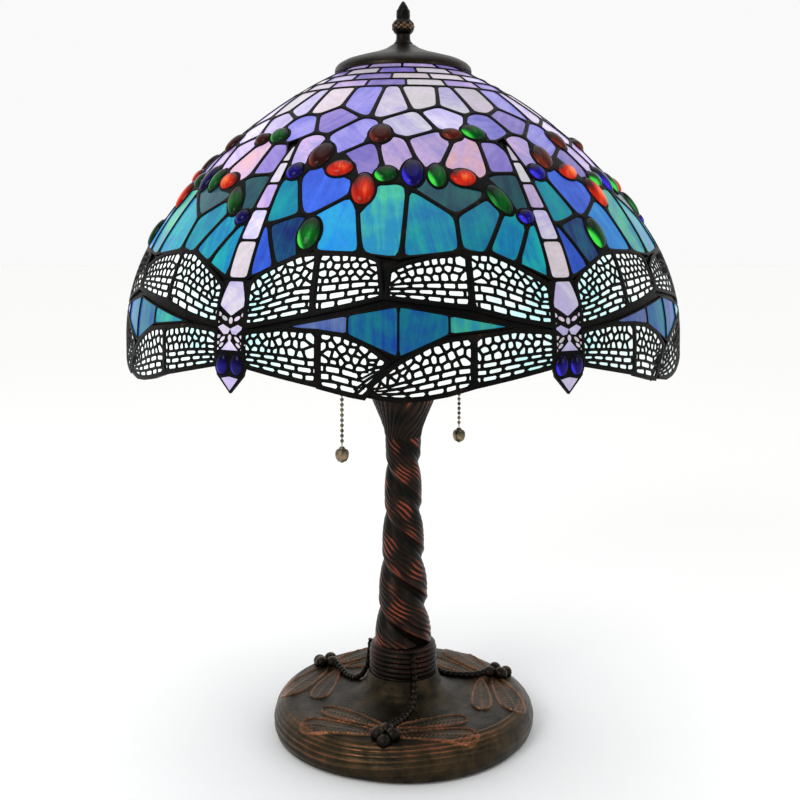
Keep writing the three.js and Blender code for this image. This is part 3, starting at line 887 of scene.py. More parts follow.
for sector in range(SECTORS):
    turn = 2 * HALF_SECTOR * sector
    glass, cames = Batch(), Batch()
    for (radius, (middle, edge, inner)), (_, down, sheet) in zip(CELLS, GLASS_PIECES):
        points, faces = came_ring(edge, inner, CAME)
        cames.add(turned_about(points, turn), faces)
        points, faces, chart = flat_tile(middle, edge, inner)
        values = tile_values(chart, middle, radius, sheet, down > STREAKS_UPRIGHT)
        glass.add(turned_about(points, turn), faces, **values)
    for oval, (*_, colour) in zip(bites(0)[1::3], JEWELS):
        add_jewel(jewel_batches[colour], cames, np.array(oval[:2]), oval_loop(*oval), turn)
    glass.piece(f"dome_tiles_{sector + 1}", "shade", "dome_glass", STREAKY_GLASS,
                [f"dome_glass_panel_{sector + 1}"])
    cames.leads(f"dome_cames_{sector + 1}")
print("dome made")

# %% [markdown]
# Behind the pattern runs a thin web of solder. The glass goes right through it, from the front to the
# inside of the shade, so it shows only where two cames leave a chink between them, and closes that chink.

# %% Solder web


def slab(top, low):
    """A closed sheet between two grids of points of the same shape."""
    rows, columns = top.shape[:2]
    index = np.arange(rows * columns).reshape(rows, columns)
    quads = np.stack([index[:-1, :-1], index[:-1, 1:], index[1:, 1:], index[1:, :-1]], -1).reshape(-1, 4)
    round_edge = np.concatenate([index[0, :-1], index[:-1, -1], index[-1, :0:-1], index[:0:-1, 0]])
    ahead = np.roll(round_edge, -1)
    under = rows * columns
    sides = np.stack([ahead, round_edge, round_edge + under, ahead + under], -1)
    return np.concatenate([top.reshape(-1, 3), low.reshape(-1, 3)]), [quads, quads[:, ::-1] + under, sides]


def rim_height(angle):
    """Height of the rim: low at the wing tips, high beside a dragonfly's head, by half a cosine."""
    share = np.minimum(np.abs(angle) / math.radians(27), 1)
    return RIM_TIP + (RIM_HEAD - RIM_TIP) * 0.5 * (1 - np.cos(math.pi * share))


WEB_FRONT, WEB_BACK = -2.3, -2.8
for sector in range(SECTORS):
    across = np.linspace(-HALF_SECTOR, HALF_SECTOR, 41)
    end = chart_at_height(rim_height(across) + 1.0)
    begin = float(chart_at_down(BRICKS_END))
    chart = begin + np.linspace(0, 1, 60)[:, None] * (end - begin)
    place = across + 0 * chart
    points, faces = slab(on_wall(place, chart, WEB_FRONT), on_wall(place, chart, WEB_BACK))
    points = turned_about(points, 2 * HALF_SECTOR * sector)
    skin(f"solder_web_{sector + 1}", points, faces, "shade", "lead_came", LEAD)

# %% [markdown]
# ## Bricks round the opening
#
# Above the pattern run rings of long, low bricks, laid with broken joints as masonry is. The top ring
# lies under the cap. Each brick is a four-sided cell with sharp corners, so a large p serves.

# %% Bricks
BRICK_RINGS = [  # inner and outer radius, and how many bricks
    (APERTURE_R + 0.4, 59, 12), (59, 70.5, 14), (70.5, 81.5, 16), (81.5, BRICKS_END_R, 18),
]
BRICK_BOND = 0.37  # share of a brick by which each ring is turned against the one above
BRICK_HALF_LEAD, BRICK_POWER = 1.0, 18
LONG_STEPS = np.array([0.0, 0.06, 0.25, 0.5, 0.75, 0.94])
bricks, brick_cames = Batch(), Batch()
for ring, (start, end, count) in enumerate(BRICK_RINGS):
    top, low = (float(chart_at_down(np.interp(r, WALL_R, DOWN))) for r in (start, end))
    radius = (start + end) / 2
    step = 2 * math.pi / count
    for k in range(count):
        left = (k + BRICK_BOND * ring) * step
        normals, offsets = lines_of([(left, low), (left + step, low), (left + step, top), (left, top)])
        middle, edge, inner = cell_loops(normals, offsets, BRICK_HALF_LEAD / radius, LONG_STEPS, BRICK_POWER)
        brick_cames.add(*came_ring(edge, inner, CAME))
        points, faces, chart = flat_tile(middle, edge, inner)
        sheet = RNG.choice(["pearl", "cream", "rose", "cream", "lavender"])
        bricks.add(points, faces, **tile_values(chart, middle, radius, sheet, False))
bricks.piece("brick_tiles", "shade", "brick_glass", STREAKY_GLASS, ["brick_glass_band"])
brick_cames.leads("brick_cames")
print("bricks:", sum(count for _, _, count in BRICK_RINGS))

# %% [markdown]
# ## Wings
#
# Each dragonfly has four wings, and each wing is two sheets of glass with an upright lead between them.
# Where two wing tips meet, one is cut over the other, so the left and the right wings differ a little.
# A panel is given by the corners of its net, as an angle from the meeting line and a height. Between
# the upper and the lower wings lie four blue pieces.

# %% Panels of a sixth
WING_PANELS = [  # corners of the net as (degrees, height)
    [(-14.2, 411), (-9, 411), (-5.5, 409.5), (-3.7, 406.5), (-2.9, 384), (-8.5, 378.5), (-14.2, 373.5)],
    [(-26.9, 391.5), (-24.6, 398.5), (-18, 410), (-14.9, 411), (-14.9, 373), (-26.9, 363.2)],
    [(-1.8, 384), (-1.4, 400), (1.5, 405), (6, 409), (12, 411.2), (12, 377.3), (3, 382)],
    [(12.7, 411.2), (16.5, 410.8), (19.5, 406), (24.2, 396), (26.8, 389.5), (26.8, 363.8), (19, 370),
     (12.7, 376.8)],
    [(-13, 325.6), (-8, 321), (-5.7, 319.4), (-1.9, 342), (-5.2, 352), (-9.5, 358.6), (-13, 360.3)],
    [(-13.7, 326.8), (-20, 333.7), (-26.9, 336.8), (-26.9, 358.2), (-20, 361.4), (-13.7, 360.6)],
    [(-4.5, 325.5), (-3.4, 319.6), (0, 317.6), (4, 318.6), (8, 321.2), (12.1, 325.5), (12.1, 357),
     (8.4, 355.6), (5.3, 352), (0.6, 342), (-0.8, 338.2)],
    [(12.8, 326.2), (20, 333.7), (26.8, 336.8), (26.8, 358.4), (19.7, 360.6), (12.8, 357.2)],
]
GAP_PANELS = [  # corners as (degrees, height) of the right half, and the sheets of the right and left piece
    ([(0, 344.5), (8.4, 359.4), (8.4, 372.2), (0, 378)], "deep", "deep"),
    ([(8.4, 359.4), (13, 362.5), (19.5, 363.6), (8.4, 372.2)], "sea", "haze"),
]
WING_R = 226.0  # the wall's radius there, near enough to turn millimetres into angles


def on_chart(corners):
    corners = np.array(corners, float)
    return np.stack([np.radians(corners[:, 0]), chart_at_height(corners[:, 1])], -1)


def hull(points):
    """Corners of the smallest convex outline round a few points, anticlockwise."""
    order = sorted(map(tuple, points))
    chains = []
    for run in (order, order[::-1]):
        chain = []
        for p in run:
            while len(chain) > 1 and turns_right(chain[-2], chain[-1], p):
                chain.pop()
            chain.append(p)
        chains += chain[:-1]
    return np.array(chains)


def turns_right(a, b, c):
    return (b[0] - a[0]) * (c[1] - b[1]) - (b[1] - a[1]) * (c[0] - b[0]) <= 0


# %% [markdown]
# The filigree is pressed from thin brass. Along the trailing edge run courses of long cells, laid with
# broken joints. Above them lie small uneven cells, which are a diagram of sites in wandering rows. Both
# follow the panel: a share of the height is a line between its lower and its upper edge.

# %% Net of one panel
LONG_CELL, SMALL_CELL = (11.2, 4.9), (6.0, 5.2)  # lengths and heights
COURSES = 0.44  # share of the wing's height that has courses
NET_LEAD = 1.02
PANEL_END = 6.0  # nearer than this to a panel's end, the courses run on level


def share_line(corners, across, share):
    """Height at a share of the way from a convex outline's lower edge to its upper edge."""
    following = np.roll(corners, -1, axis=0)
    end = PANEL_END / WING_R
    across = np.clip(across, corners[:, 0].min() + end, corners[:, 0].max() - end)
    low, high = np.full(len(across), np.inf), np.full(len(across), -np.inf)
    for (x1, y1), (x2, y2) in zip(corners, following):
        if abs(x2 - x1) > 1e-9:
            part = (across - x1) / (x2 - x1)
            y = np.where((part >= -1e-9) & (part <= 1 + 1e-9), y1 + (y2 - y1) * part, np.nan)
            low, high = np.fmin(low, y), np.fmax(high, y)
    return low + (high - low) * share


def spread(corners, row, length, wander, rng):
    """Places across the panel at which a row is cut, or at which its sites stand."""
    left, right = corners[:, 0].min(), corners[:, 0].max()
    count = max(round((right - left) * WING_R / length), 2)
    inside = (np.arange(count) + 0.5 * (row % 2) + 0.25 + rng.uniform(-wander, wander, count)) / count
    return left + np.clip(inside, 0, 1) * (right - left)


def course_cells(corners, rows, rng):
    """Outlines of the long cells: four corners between two lines and two cuts."""
    left, right = corners[:, 0].min(), corners[:, 0].max()
    margin = 2 / WING_R
    for row in range(rows):
        cuts = np.sort(spread(corners, row, LONG_CELL[0], 0.16, rng))
        cuts = np.concatenate([[left], cuts[(cuts > left + margin) & (cuts < right - margin)], [right]])
        low, high = (share_line(corners, cuts, COURSES * (row + k) / rows) for k in (0, 1))
        for k in range(len(cuts) - 1):
            yield hull([(cuts[k], low[k]), (cuts[k + 1], low[k + 1]), (cuts[k + 1], high[k + 1]),
                        (cuts[k], high[k])])


def small_sites(corners, rows, rng):
    """Sites of the small cells, in rows above the courses."""
    sites = []
    for row in range(rows):
        across = spread(corners, row, SMALL_CELL[0], 0.3, rng)
        share = COURSES + (row + 0.5 + rng.uniform(-0.26, 0.26, len(across))) / rows * (1 - COURSES)
        sites.append(np.stack([across, share_line(corners, across, share)], -1))
    return np.concatenate(sites)


def net(corners, seed):
    """Rings of the filigree over one panel."""
    rng = np.random.default_rng(seed)
    middle = np.array([(corners[:, 0].min() + corners[:, 0].max()) / 2])
    tall = float((share_line(corners, middle, 1) - share_line(corners, middle, 0))[0]) * WING_R
    batch = Batch()
    side_normals, side_offsets = lines_of(corners)

    def add_cell(normals, offsets, steps, power):
        """The ring of one cell, which the panel's sides cut off."""
        normals, offsets = np.concatenate([normals, side_normals]), np.concatenate([offsets, side_offsets])
        loops = cell_loops(normals, offsets, NET_LEAD / WING_R, np.array(steps), power)
        if loops is not None:
            batch.add(*came_ring(*loops[1:], THIN_CAME))

    for outline in course_cells(corners, round(tall * COURSES / LONG_CELL[1]), rng):
        add_cell(*lines_of(outline), [0.0, 0.12, 0.5, 0.88], 10)
    sites = small_sites(corners, round(tall * (1 - COURSES) / SMALL_CELL[1]), rng)
    sites = sites[(sites @ side_normals.T < side_offsets - 0.9 / WING_R).all(1)]
    for k, site in enumerate(sites):
        normals, offsets = lines_between(site, np.delete(sites, k, axis=0))
        ends = np.clip(site[0] + np.array([-2.5, 2.5]) / WING_R, corners[:, 0].min(), corners[:, 0].max())
        normal, offset = line_through(*zip(ends, share_line(corners, ends, COURSES)), site)
        add_cell(np.concatenate([normals, normal[None]]), np.concatenate([offsets, [offset]]), [0.0, 0.5], 9)
    return batch


def border(corners, outside, inside):
    """The came round a panel: its middle, and the loops of its outer and of its inner edge."""
    normals, offsets = lines_of(corners)
    steps = np.linspace(0, 1, 8, endpoint=False)
    return cell_loops(normals, offsets + outside / WING_R, (outside + inside) / WING_R, steps, 24)


# %% Wings of one sixth
WING_FRONT, WING_BACK = -1.0, -3.05
BORDER = [(-0.02, -0.1), (0.3, 0.0), (0.7, 0.0), (1.0, -0.5), (1.0, -2.9), (0.6, -3.1), (-0.02, -3.2)]
WING_TUCK, GAP_TUCK = 0.3, 0.3  # shares of the border that a sheet and a gap's glass reach under it
nets, borders, sheets, gaps = Batch(), Batch(), Batch(), []
for seed, corners in enumerate(WING_PANELS):
    outline = hull(on_chart(corners))
    nets.add(*net(outline, 40 + seed).arrays()[:2])
    middle, edge, inner = border(outline, 2.2, 0.7)
    borders.add(*came_ring(edge, inner, BORDER))
    points, faces, chart = tile(middle, inner + (edge - inner) * WING_TUCK, [0.25, 0.5, 0.75, 1.0],
                                [WING_FRONT] * 5, [WING_BACK] * 5)
    sheets.add(points, faces, wing=np.interp(np.degrees(np.abs(chart[:, 0])), [9, 24], [-0.1, 0.7]))
for corners, *pair in GAP_PANELS:
    for side, sheet in zip((1, -1), pair):
        middle, edge, inner = border(hull(on_chart(corners) * [side, 1]), 0.3, 0.8)
        borders.add(*came_ring(edge, inner, BORDER))
        gaps.append((middle, inner + (edge - inner) * GAP_TUCK, sheet))
print("net:", sum(len(p) for p in nets.points), "points")

# %% Place the wings six times round
for sector in range(SECTORS):
    turn, number = 2 * HALF_SECTOR * sector, sector + 1
    gap_glass = Batch()
    for middle, loop, sheet in gaps:
        points, faces, chart = tile(middle, loop, [0.4, 0.75, 1.0], [GLASS_FRONT] * 4, [GLASS_BACK] * 4)
        gap_glass.add(turned_about(points, turn), faces, **tile_values(chart, middle, WING_R, sheet, True))
    sheets.piece(f"wing_sheets_{number}", "shade", "wing_glass", WING_GLASS, [f"wing_glass_panel_{number}"],
                 turn=turn)
    nets.leads(f"wing_nets_{number}", turn)
    borders.leads(f"wing_cames_{number}", turn)
    gap_glass.piece(f"gap_tiles_{number}", "shade", "dome_glass", STREAKY_GLASS)
print("wings made")

# %% [markdown]
# ## Dragonfly bodies
#
# The abdomen is a row of pale segments that widens downwards. Below it come a five-sided chest, a
# filigree collar with two crosses, a band and a triangle, two cobalt eyes and the pointed head, which
# hangs below the rim. Under the collar and the head lies one plate of lead, and each small piece of
# glass goes right through it.

# %% Body glass
BODY_PLATE = [(-12.2, 392), (-13.4, 372), (-13.4, 340), (-11.5, 329), (0, 316.8), (11.5, 329), (13.4, 340),
              (13.4, 372), (12.2, 392), (6.9, 394.5), (-6.9, 394.5)]
CHEST = [(-5.8, 392.5), (-9.2, 383), (-10.6, 376), (0, 369), (10.6, 376), (9.2, 383), (5.8, 392.5)]
BAND = [(0, 360.6), (1.8, 357.2), (5.2, 356.6), (11, 361.6), (6.5, 363.6)]
TRIANGLE = [(-7.2, 346.2), (7.2, 346.2), (0, 353.4)]
HEAD_TIP = [(-7.4, 327.2), (0, 318.6), (7.4, 327.2), (0, 328.6)]
WEDGES = [  # x, z, half length, half width, turn in degrees: the pale cells of the two crosses
    (0, 366.2, 2.3, 1.5, 90), (5.4, 367.6, 2.7, 1.3, 30), (10.6, 370.5, 2.3, 1.4, 30),
    (11.4, 365.0, 1.7, 1.0, 10), (0, 354.6, 2.3, 1.5, 90), (6.2, 353.6, 2.7, 1.1, -40),
    (10.6, 355.0, 2.5, 1.2, -25), (11.2, 350.6, 2.3, 1.2, -20), (7.2, 349.6, 2.3, 1.0, -40),
    (11.3, 346.6, 1.9, 1.1, -15),
]


def on_body(points):
    """Chart place of (x, z) points given from a body's middle line, in millimetres."""
    points = np.array(points, float)
    chart = chart_at_height(points[:, 1])
    return np.stack([HALF_SECTOR + points[:, 0] / radius_at(chart), chart], -1)


def body_tile(batch, corners, sheet, turn, front=-0.15, power=14):
    """A small piece of glass that goes right through the plate of lead."""
    normals, offsets = lines_of(hull(on_body(corners)))
    middle, _, loop = cell_loops(normals, offsets, 0.0, CORNER_STEPS, power)
    points, faces, chart = tile(middle, loop, [0.6, 1.0], [front, front, front - 0.25], [-3.05] * 3)
    batch.add(turned_about(points, turn), faces, **tile_values(chart, middle, WING_R, sheet, False))


BODY_SHEETS = ["cream", "cream", "rose", "pearl", "cream"]  # of the abdomen, from the tail down
BODY_HALF_LEAD, BODY_POWER = 1.1, 8
EYE_RISE = 2.4  # less than on the dome, as the eyes stand where the lamp is widest
for sector in range(SECTORS):
    turn = 2 * HALF_SECTOR * sector
    glass, lead = Batch(), Batch()
    for *ends, sheet in zip(BODY_DOWN, BODY_DOWN[1:], BODY_SHEETS):
        halves = [body_side(d) for d in ends]
        highs = [float(chart_at_down(d)) for d in ends]
        outline = hull([(HALF_SECTOR - halves[0], highs[0]), (HALF_SECTOR - halves[1], highs[1]),
                        (HALF_SECTOR + halves[1], highs[1]), (HALF_SECTOR + halves[0], highs[0])])
        radius = float(radius_at(sum(highs) / 2))
        normals, offsets = lines_of(outline)
        middle, edge, inner = cell_loops(normals, offsets, BODY_HALF_LEAD / radius, CORNER_STEPS, BODY_POWER)
        points, faces = came_ring(edge, inner, CAME)
        lead.add(turned_about(points, turn), faces)
        points, faces, chart = tile(middle, inner + (edge - inner) * 0.25, [0.7, 1.0], [-0.2, -0.4, -0.8],
                                    [GLASS_BACK] * 3)
        glass.add(turned_about(points, turn), faces, **tile_values(chart, middle, radius, sheet, False))
    middle = on_body([(0, 352)])[0]
    points, faces, _ = tile(middle, on_body(BODY_PLATE), [0.5, 0.9, 1.0], [-0.4, -0.4, -0.3, -0.6],
                            [-2.9] * 4)
    lead.add(turned_about(points, turn), faces)
    body_tile(glass, CHEST, "pearl", turn, front=0.0)
    body_tile(glass, TRIANGLE, "pearl", turn, power=24)
    body_tile(glass, HEAD_TIP, "pearl", turn)
    for side in (1, -1):
        body_tile(glass, [(side * x, z) for x, z in BAND], "pearl", turn, power=24)
        for x, z, long, wide, lean in WEDGES:
            if x or side > 0:
                oval = oval_loop(side * x, z, long, wide, math.radians(side * lean), 16)
                body_tile(glass, oval, "cream", turn)
        eye = on_body(oval_loop(side * 6.2, 336.6, 5.2, 7.4, math.radians(side * 6)))
        add_jewel(jewel_batches["blue"], lead, eye.mean(0), eye, turn, EYE_RISE)
    glass.piece(f"dragonfly_glass_{sector + 1}", "shade", "body_glass", STREAKY_GLASS,
                [f"dragonfly_body_{sector + 1}"])
    lead.leads(f"dragonfly_lead_{sector + 1}")

for colour, batch in jewel_batches.items():
    batch.piece(f"jewels_{colour}", "shade", JEWEL_SLOT[colour], JEWEL_FINISH[colour], sharp=60)
print("bodies and jewels made")

# %% [markdown]
# ## Turned pieces
#
# Caps, sockets, bulbs and bells are spun or turned on a lathe: a profile of (radius, height) carried
# round an axis. A closed profile makes a ring with a bore. An open one starts and ends on the axis. A
# `shape` function may then push each point out or in, by its angle and height, for beads and flutes.

# %% Turned


def heights(node):
    """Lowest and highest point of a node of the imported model, in millimetres."""
    return [1000 * corner.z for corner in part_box(node)]


def profile_rings(profile, count, shape=None):
    """Rings of points about +Z. shape(angle, height, radius) gives new radii."""
    profile = np.array(profile, float)
    angle = np.arange(count) * 2 * math.pi / count
    r = np.repeat(profile[:, :1], count, 1)
    z = np.repeat(profile[:, 1:], count, 1)
    a = np.repeat(angle[None], len(profile), 0)
    if shape is not None:
        r = shape(a, z, r)
    return np.stack([r * np.cos(a), r * np.sin(a), z], -1)


def lengths_along(points):
    return np.concatenate([[0], np.cumsum(np.linalg.norm(np.diff(points, axis=0), axis=1))])


def smooth_path(points, count, rounds):
    """A curve through a few points, and the length at each of its points: every coordinate is
    interpolated by length, then each point is averaged with its neighbours a few rounds long."""
    points = np.array(points, float)
    length = lengths_along(points)
    at = np.linspace(0, length[-1], count)
    path = np.stack([np.interp(at, length, column) for column in points.T], -1)
    for _ in range(rounds):
        path[1:-1] = (path[:-2] + 2 * path[1:-1] + path[2:]) / 4
    return path, at


def fine_profile(points, step):
    """A profile through the given points, with a point at about every step and rounded corners."""
    count = max(int(lengths_along(np.array(points, float))[-1] / step), 4) + 1
    return [tuple(point) for point in smooth_path(points, count, 2)[0]]


def turned(name, profile, body, slot, finish, stands_for, closed=True, count=64, shape=None, wear=None,
           place=None, sharp=35):
    """A turned piece. place maps its points from +Z to where it belongs."""
    points, faces = ring_grid(profile_rings(profile, count, shape), closed)
    values = {}
    if wear is not None:
        x, y, z = points.T
        values["wear"] = wear(np.arctan2(y, x), z, np.hypot(x, y)).astype(float)
    if place is not None:
        points = place(points)
    skin(name, points, faces, body, slot, finish, stands_for, values, sharp)


# %% [markdown]
# ## Cap and finial
#
# The vase cap is spun brass, patinated almost black. Its rim covers the opening. The finial is cast: a
# plain neck, a beaded bulge and a pine cone. The beads are a product of two cosines, the cone's scales
# are two spirals that cross.

# %% Cap and finial
CAP_LOW = heights("vase_cap")[0]
LAMP_TOP = 1000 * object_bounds()[1].z
cap_outside = fine_profile([(57.5, CAP_LOW), (57.6, 561.8), (54.5, 565.4), (48, 568.9), (36, 572.4),
                            (24, 575.6), (15, 578.9), (9.6, 582.4)], 1.2)
cap_inside = [(3.4, 582.5), (3.4, 580.4), (10, 579.2), (24, 574.0), (36, 570.8), (48, 567.2), (54, 563.4),
              (56.3, CAP_LOW)]


def cap_wear(angle, z, r):
    rim = np.exp(-((z - 560.6) / 1.5) ** 2)
    return 0.12 + 0.3 * rim + 0.15 * np.exp(-((r - 12) / 6) ** 2)


turned("vase_cap_spun", cap_outside + cap_inside, "shade", "bronze_hardware", CAP_BRONZE, ["vase_cap"],
       count=128, wear=cap_wear)


BULGE_Z = 597.5  # middle of the finial's beaded bulge


def finial_shape(angle, z, r):
    bead_rows = np.cos((z - BULGE_Z) * 2 * math.pi / 4.2)
    beads = 0.55 * np.cos(angle * 11) * bead_rows * np.exp(-((z - BULGE_Z) / 4.0) ** 4)
    up = (z - 603) / 16
    scales = 0.5 * np.maximum(np.cos(angle * 4 + up * 13), 0) * np.maximum(np.cos(angle * 4 - up * 13), 0)
    on_cone = (z > 603.5) & (r > 1.2)
    return np.where(r > 3.6, r + beads, r) + np.where(on_cone, scales - 0.25, 0)


def finial_wear(angle, z, r):
    return np.clip(0.2 + finial_shape(angle, z, r) - r, 0, 1) + 0.5 * np.exp(-((z - BULGE_Z) / 3) ** 2)


finial_profile = fine_profile([
    (8.0, 582.9), (8.4, 583.4), (6.6, 585.2), (5.9, 587.5), (5.8, 591), (7.6, 592.6), (9.0, 595.2),
    (9.3, 597.6), (9.0, 600), (7.4, 602.4), (5.7, 603.7), (6.0, 605.5), (6.1, 608), (5.3, 611.4),
    (3.7, 614.8), (1.9, 617.5), (0.2, LAMP_TOP),
], 0.4)
turned("finial_cast", [(0.1, 601), (3.4, 601), (3.4, 582.9), *finial_profile], "finial", "bronze_hardware",
       CAP_BRONZE, ["finial"], closed=False, count=72, shape=finial_shape, wear=finial_wear, sharp=60)
print("cap and finial made, top at", round(LAMP_TOP, 1))

# %% [markdown]
# ## Column
#
# The stem is two thick strands laid left-handed round each other, and each strand is a bundle of fine
# cords. On a cylinder's map the strands are diagonal bands. With q the angle across a strand, the
# radius is the envelope times a lobe, |cos q|^0.6, plus fine ridges, |cos 9q|, and a rolled lip on the
# strand's upper edge. Wear is highest on the ridges, and comes and goes along them. The copper on the
# lip is partly rubbed wear and partly a painted highlight, as if light from above caught that upper edge.

# %% Stem
COLLAR_LOW, COLLAR_TOP = heights("foot_collar")
STEM_LOW, STEM_HIGH = heights("twisted_stem")
BORE_R = 5.4  # of the hole for the threaded pipe
STRAND_LEAD = 83.0
FOOT_R, NECK_R = 25.0, 15.5


def strand_turn(angle, z):
    """Angle across a strand, from -90° to 90°, with 0 on its crest."""
    turn = angle + 2 * math.pi * z / STRAND_LEAD
    return (turn + math.pi / 2) % math.pi - math.pi / 2


def in_bundle(q, sharpness):
    """1 where a strand shows its cords, 0 in the groove beside it."""
    return 1 / (1 + np.exp((np.abs(q - 0.1) - 0.95) * sharpness))


def wandering(angle, z):
    """How far the cords stray from true spirals, so that they part and close up again."""
    return 0.8 * np.sin(z / 8.3 + angle) + 0.5 * np.sin(z / 3.7 - 2 * angle)


def stem_shape(angle, z, r):
    q = strand_turn(angle, z)
    up = np.clip((z - COLLAR_TOP) / (STEM_HIGH - COLLAR_TOP), 0, 1)
    envelope = FOOT_R + (NECK_R - FOOT_R) * np.sin(up * math.pi / 2)
    lobe = 0.79 + 0.2 * np.abs(np.cos(q)) ** 0.6
    cords = 0.032 * np.abs(np.cos(9 * q + wandering(angle, z))) ** 0.8 * in_bundle(q, 14)
    lip = 0.06 * np.exp(-(((q + 0.98) / 0.15) ** 2))
    return np.where(r > 6, envelope * (lobe + cords + lip - 0.03), r)


def stem_wear_and_highlight(angle, z, r):
    q = strand_turn(angle, z)
    cords = np.abs(np.cos(9 * q + wandering(angle, z)))
    # Copper on the lip: partly rubbed wear, partly a painted highlight on each strand's upper edge.
    lip = np.exp(-(((q + 0.98) / 0.14) ** 2))
    rubbed = np.clip(0.55 + 0.7 * np.sin(2 * angle + z / 7.3) * np.sin(3 * angle - z / 11.9), 0.25, 1)
    on_cords = 0.85 * in_bundle(q, 12) * cords**3 * rubbed
    return np.clip(0.08 + on_cords + 0.6 * lip * (0.4 + 0.6 * rubbed), 0, 1)


stem_outside = [(20, z) for z in np.linspace(STEM_LOW, STEM_HIGH, 300)]
stem_profile = stem_outside + [(BORE_R, STEM_HIGH), (BORE_R, STEM_LOW)]
turned("stem_strands", stem_profile, "root", "bronze", BRONZE, ["twisted_stem"], count=256, shape=stem_shape,
       wear=stem_wear_and_highlight, sharp=70)

# %% [markdown]
# The crown flares from the stem like a flower. Its flutes start in the direction of the strands and
# straighten towards the rim, where a few of them are rubbed red. The collar at the foot is wound with rope.

# %% Crown and collar
CROWN_TOP = heights("column_crown")[1]
CROWN_LOW = STEM_HIGH + 0.2


def flute(angle, z):
    """Height of the flutes, from 0 to 1, and the share of the way up the crown."""
    up = np.clip((z - STEM_HIGH) / (CROWN_TOP - STEM_HIGH), 0, 1)
    lean = 2.6 * (1 - up) ** 2
    return np.abs(np.cos(angle * 14 + lean * 4 + 1.6 * np.sin(3 * angle + 1.5 * up))), up


def crown_shape(angle, z, r):
    ridge, _ = flute(angle, z)
    return np.where(r > 7, r - 1.3 + 1.2 * ridge**0.7, r)


def crown_wear(angle, z, r):
    ridge, up = flute(angle, z)
    streak = np.clip(0.6 + 0.9 * np.sin(5 * angle + 1.4) * np.sin(3 * angle), 0, 1)
    return np.where(r > 7, 0.06 + ridge**3 * (0.16 + 0.75 * streak * np.clip((up - 0.6) / 0.3, 0, 1)), 0)


crown_outside = fine_profile([(15.6, CROWN_LOW), (16.9, 258), (20.6, 268), (25.4, 279), (28.7, 288),
                              (28.6, CROWN_TOP - 1), (27.6, CROWN_TOP)], 0.8)
turned("crown_fluted", [*crown_outside, (BORE_R, CROWN_TOP), (BORE_R, CROWN_LOW)], "root", "bronze", BRONZE,
       ["column_crown"], count=192, shape=crown_shape, wear=crown_wear, sharp=60)

ROPE_PITCH = 4.25


def rope(angle, z):
    """Height of the rope's windings and of its fibres."""
    winding = np.abs(np.sin(math.pi * (z - COLLAR_LOW) / ROPE_PITCH + angle / 2))
    fibres = np.cos(angle * 46 + 2.4 * z)
    return winding, fibres


def collar_shape(angle, z, r):
    winding, fibres = rope(angle, z)
    return np.where(r > 7, r - 1.2 + winding**0.6 * (1.1 + 0.12 * fibres), r)


def collar_wear(angle, z, r):
    winding, fibres = rope(angle, z)
    return np.where(r > 7, 0.08 + 0.5 * winding**6 * (0.7 + 0.3 * fibres), 0)


collar_outside = fine_profile([(28.6, COLLAR_LOW), (29.2, 52), (29.1, 60), (28.9, 67), (27.8, 71.5),
                               (25.4, COLLAR_TOP)], 0.45)
turned("collar_rope", [*collar_outside, (BORE_R, COLLAR_TOP), (BORE_R, COLLAR_LOW)], "root", "bronze", BRONZE,
       ["foot_collar"], count=288, shape=collar_shape, wear=collar_wear, sharp=60)
print(f"column: stem {STEM_LOW:.0f} to {STEM_HIGH:.0f}, crown to {CROWN_TOP:.0f}")

# %% [markdown]
# ## Base
#
# The base is one casting. Its surface is a turned profile whose points are lifted by a relief: ripples
# of water round the edge and three dragonflies with their heads outwards. A wing is a leaf shape,
# given by how far along it and how far beside its midrib a point lies. Its rim is a raised wire,
# exp(-(distance / width)²), and its field carries veins.

# %% Relief of the base
HEAD_ANGLES = np.radians([-8, 112, -128])  # from the front, towards +X
BASE_WINGS = [  # root and tip as (sideways, outwards) from the lamp's axis, and half width
    ((4, 86), (72, 74), 12.5), ((5, 72), (60, 47), 10),
]


def leaf(sideways, outwards, root, tip, half):
    """How raised a point is by one wing: (height, wear)."""
    root, tip = np.array(root, float), np.array(tip, float)
    length = np.linalg.norm(tip - root)
    along_axis = (tip - root) / length
    along = ((sideways - root[0]) * along_axis[0] + (outwards - root[1]) * along_axis[1]) / length
    beside = (outwards - root[1]) * along_axis[0] - (sideways - root[0]) * along_axis[1]
    inside = np.clip(along, 0, 1)
    width = half * inside**0.45 * np.sqrt(np.maximum(1 - inside**7, 0)) + 0.2
    off_end = np.maximum(np.maximum(-along, along - 1), 0) * length
    distance = np.hypot(np.maximum(np.abs(beside) - width, 0), off_end)
    to_rim = np.where(distance > 0, distance, np.maximum(width - np.abs(beside), 0) * 0.9)
    wire = np.exp(-((to_rim / 0.9) ** 2))
    field = (distance == 0) * 1.0
    midrib = np.exp(-((beside / 0.8) ** 2)) * field
    veins = np.abs(np.sin(along * length * 0.85 + np.abs(beside) * 0.5)) * np.abs(np.sin(beside * 1.15))
    height = 1.5 * wire + field * (0.35 + 0.42 * veins) + 0.5 * midrib
    return height, np.clip(0.62 * wire + field * 0.34 * veins + 0.2 * midrib, 0, 1)


def dragonfly_relief(angle, radius):
    """Height and wear of the three dragonflies at points given by angle from the front and radius."""
    height, wear = np.zeros_like(radius), np.zeros_like(radius)
    for head in HEAD_ANGLES:
        turn = angle - head
        sideways, outwards = radius * np.sin(turn), radius * np.cos(turn)
        for side in (1, -1):
            for root, tip, half in BASE_WINGS:
                up, rub = leaf(side * sideways, outwards, root, tip, half)
                height, wear = np.maximum(height, up), np.maximum(wear, rub)
        chest = np.exp(-((sideways / 5.2) ** 2) - (((outwards - 80) / 9) ** 2))
        height, wear = np.maximum(height, 3.4 * chest), np.maximum(wear, 0.5 * chest)
    return height, wear


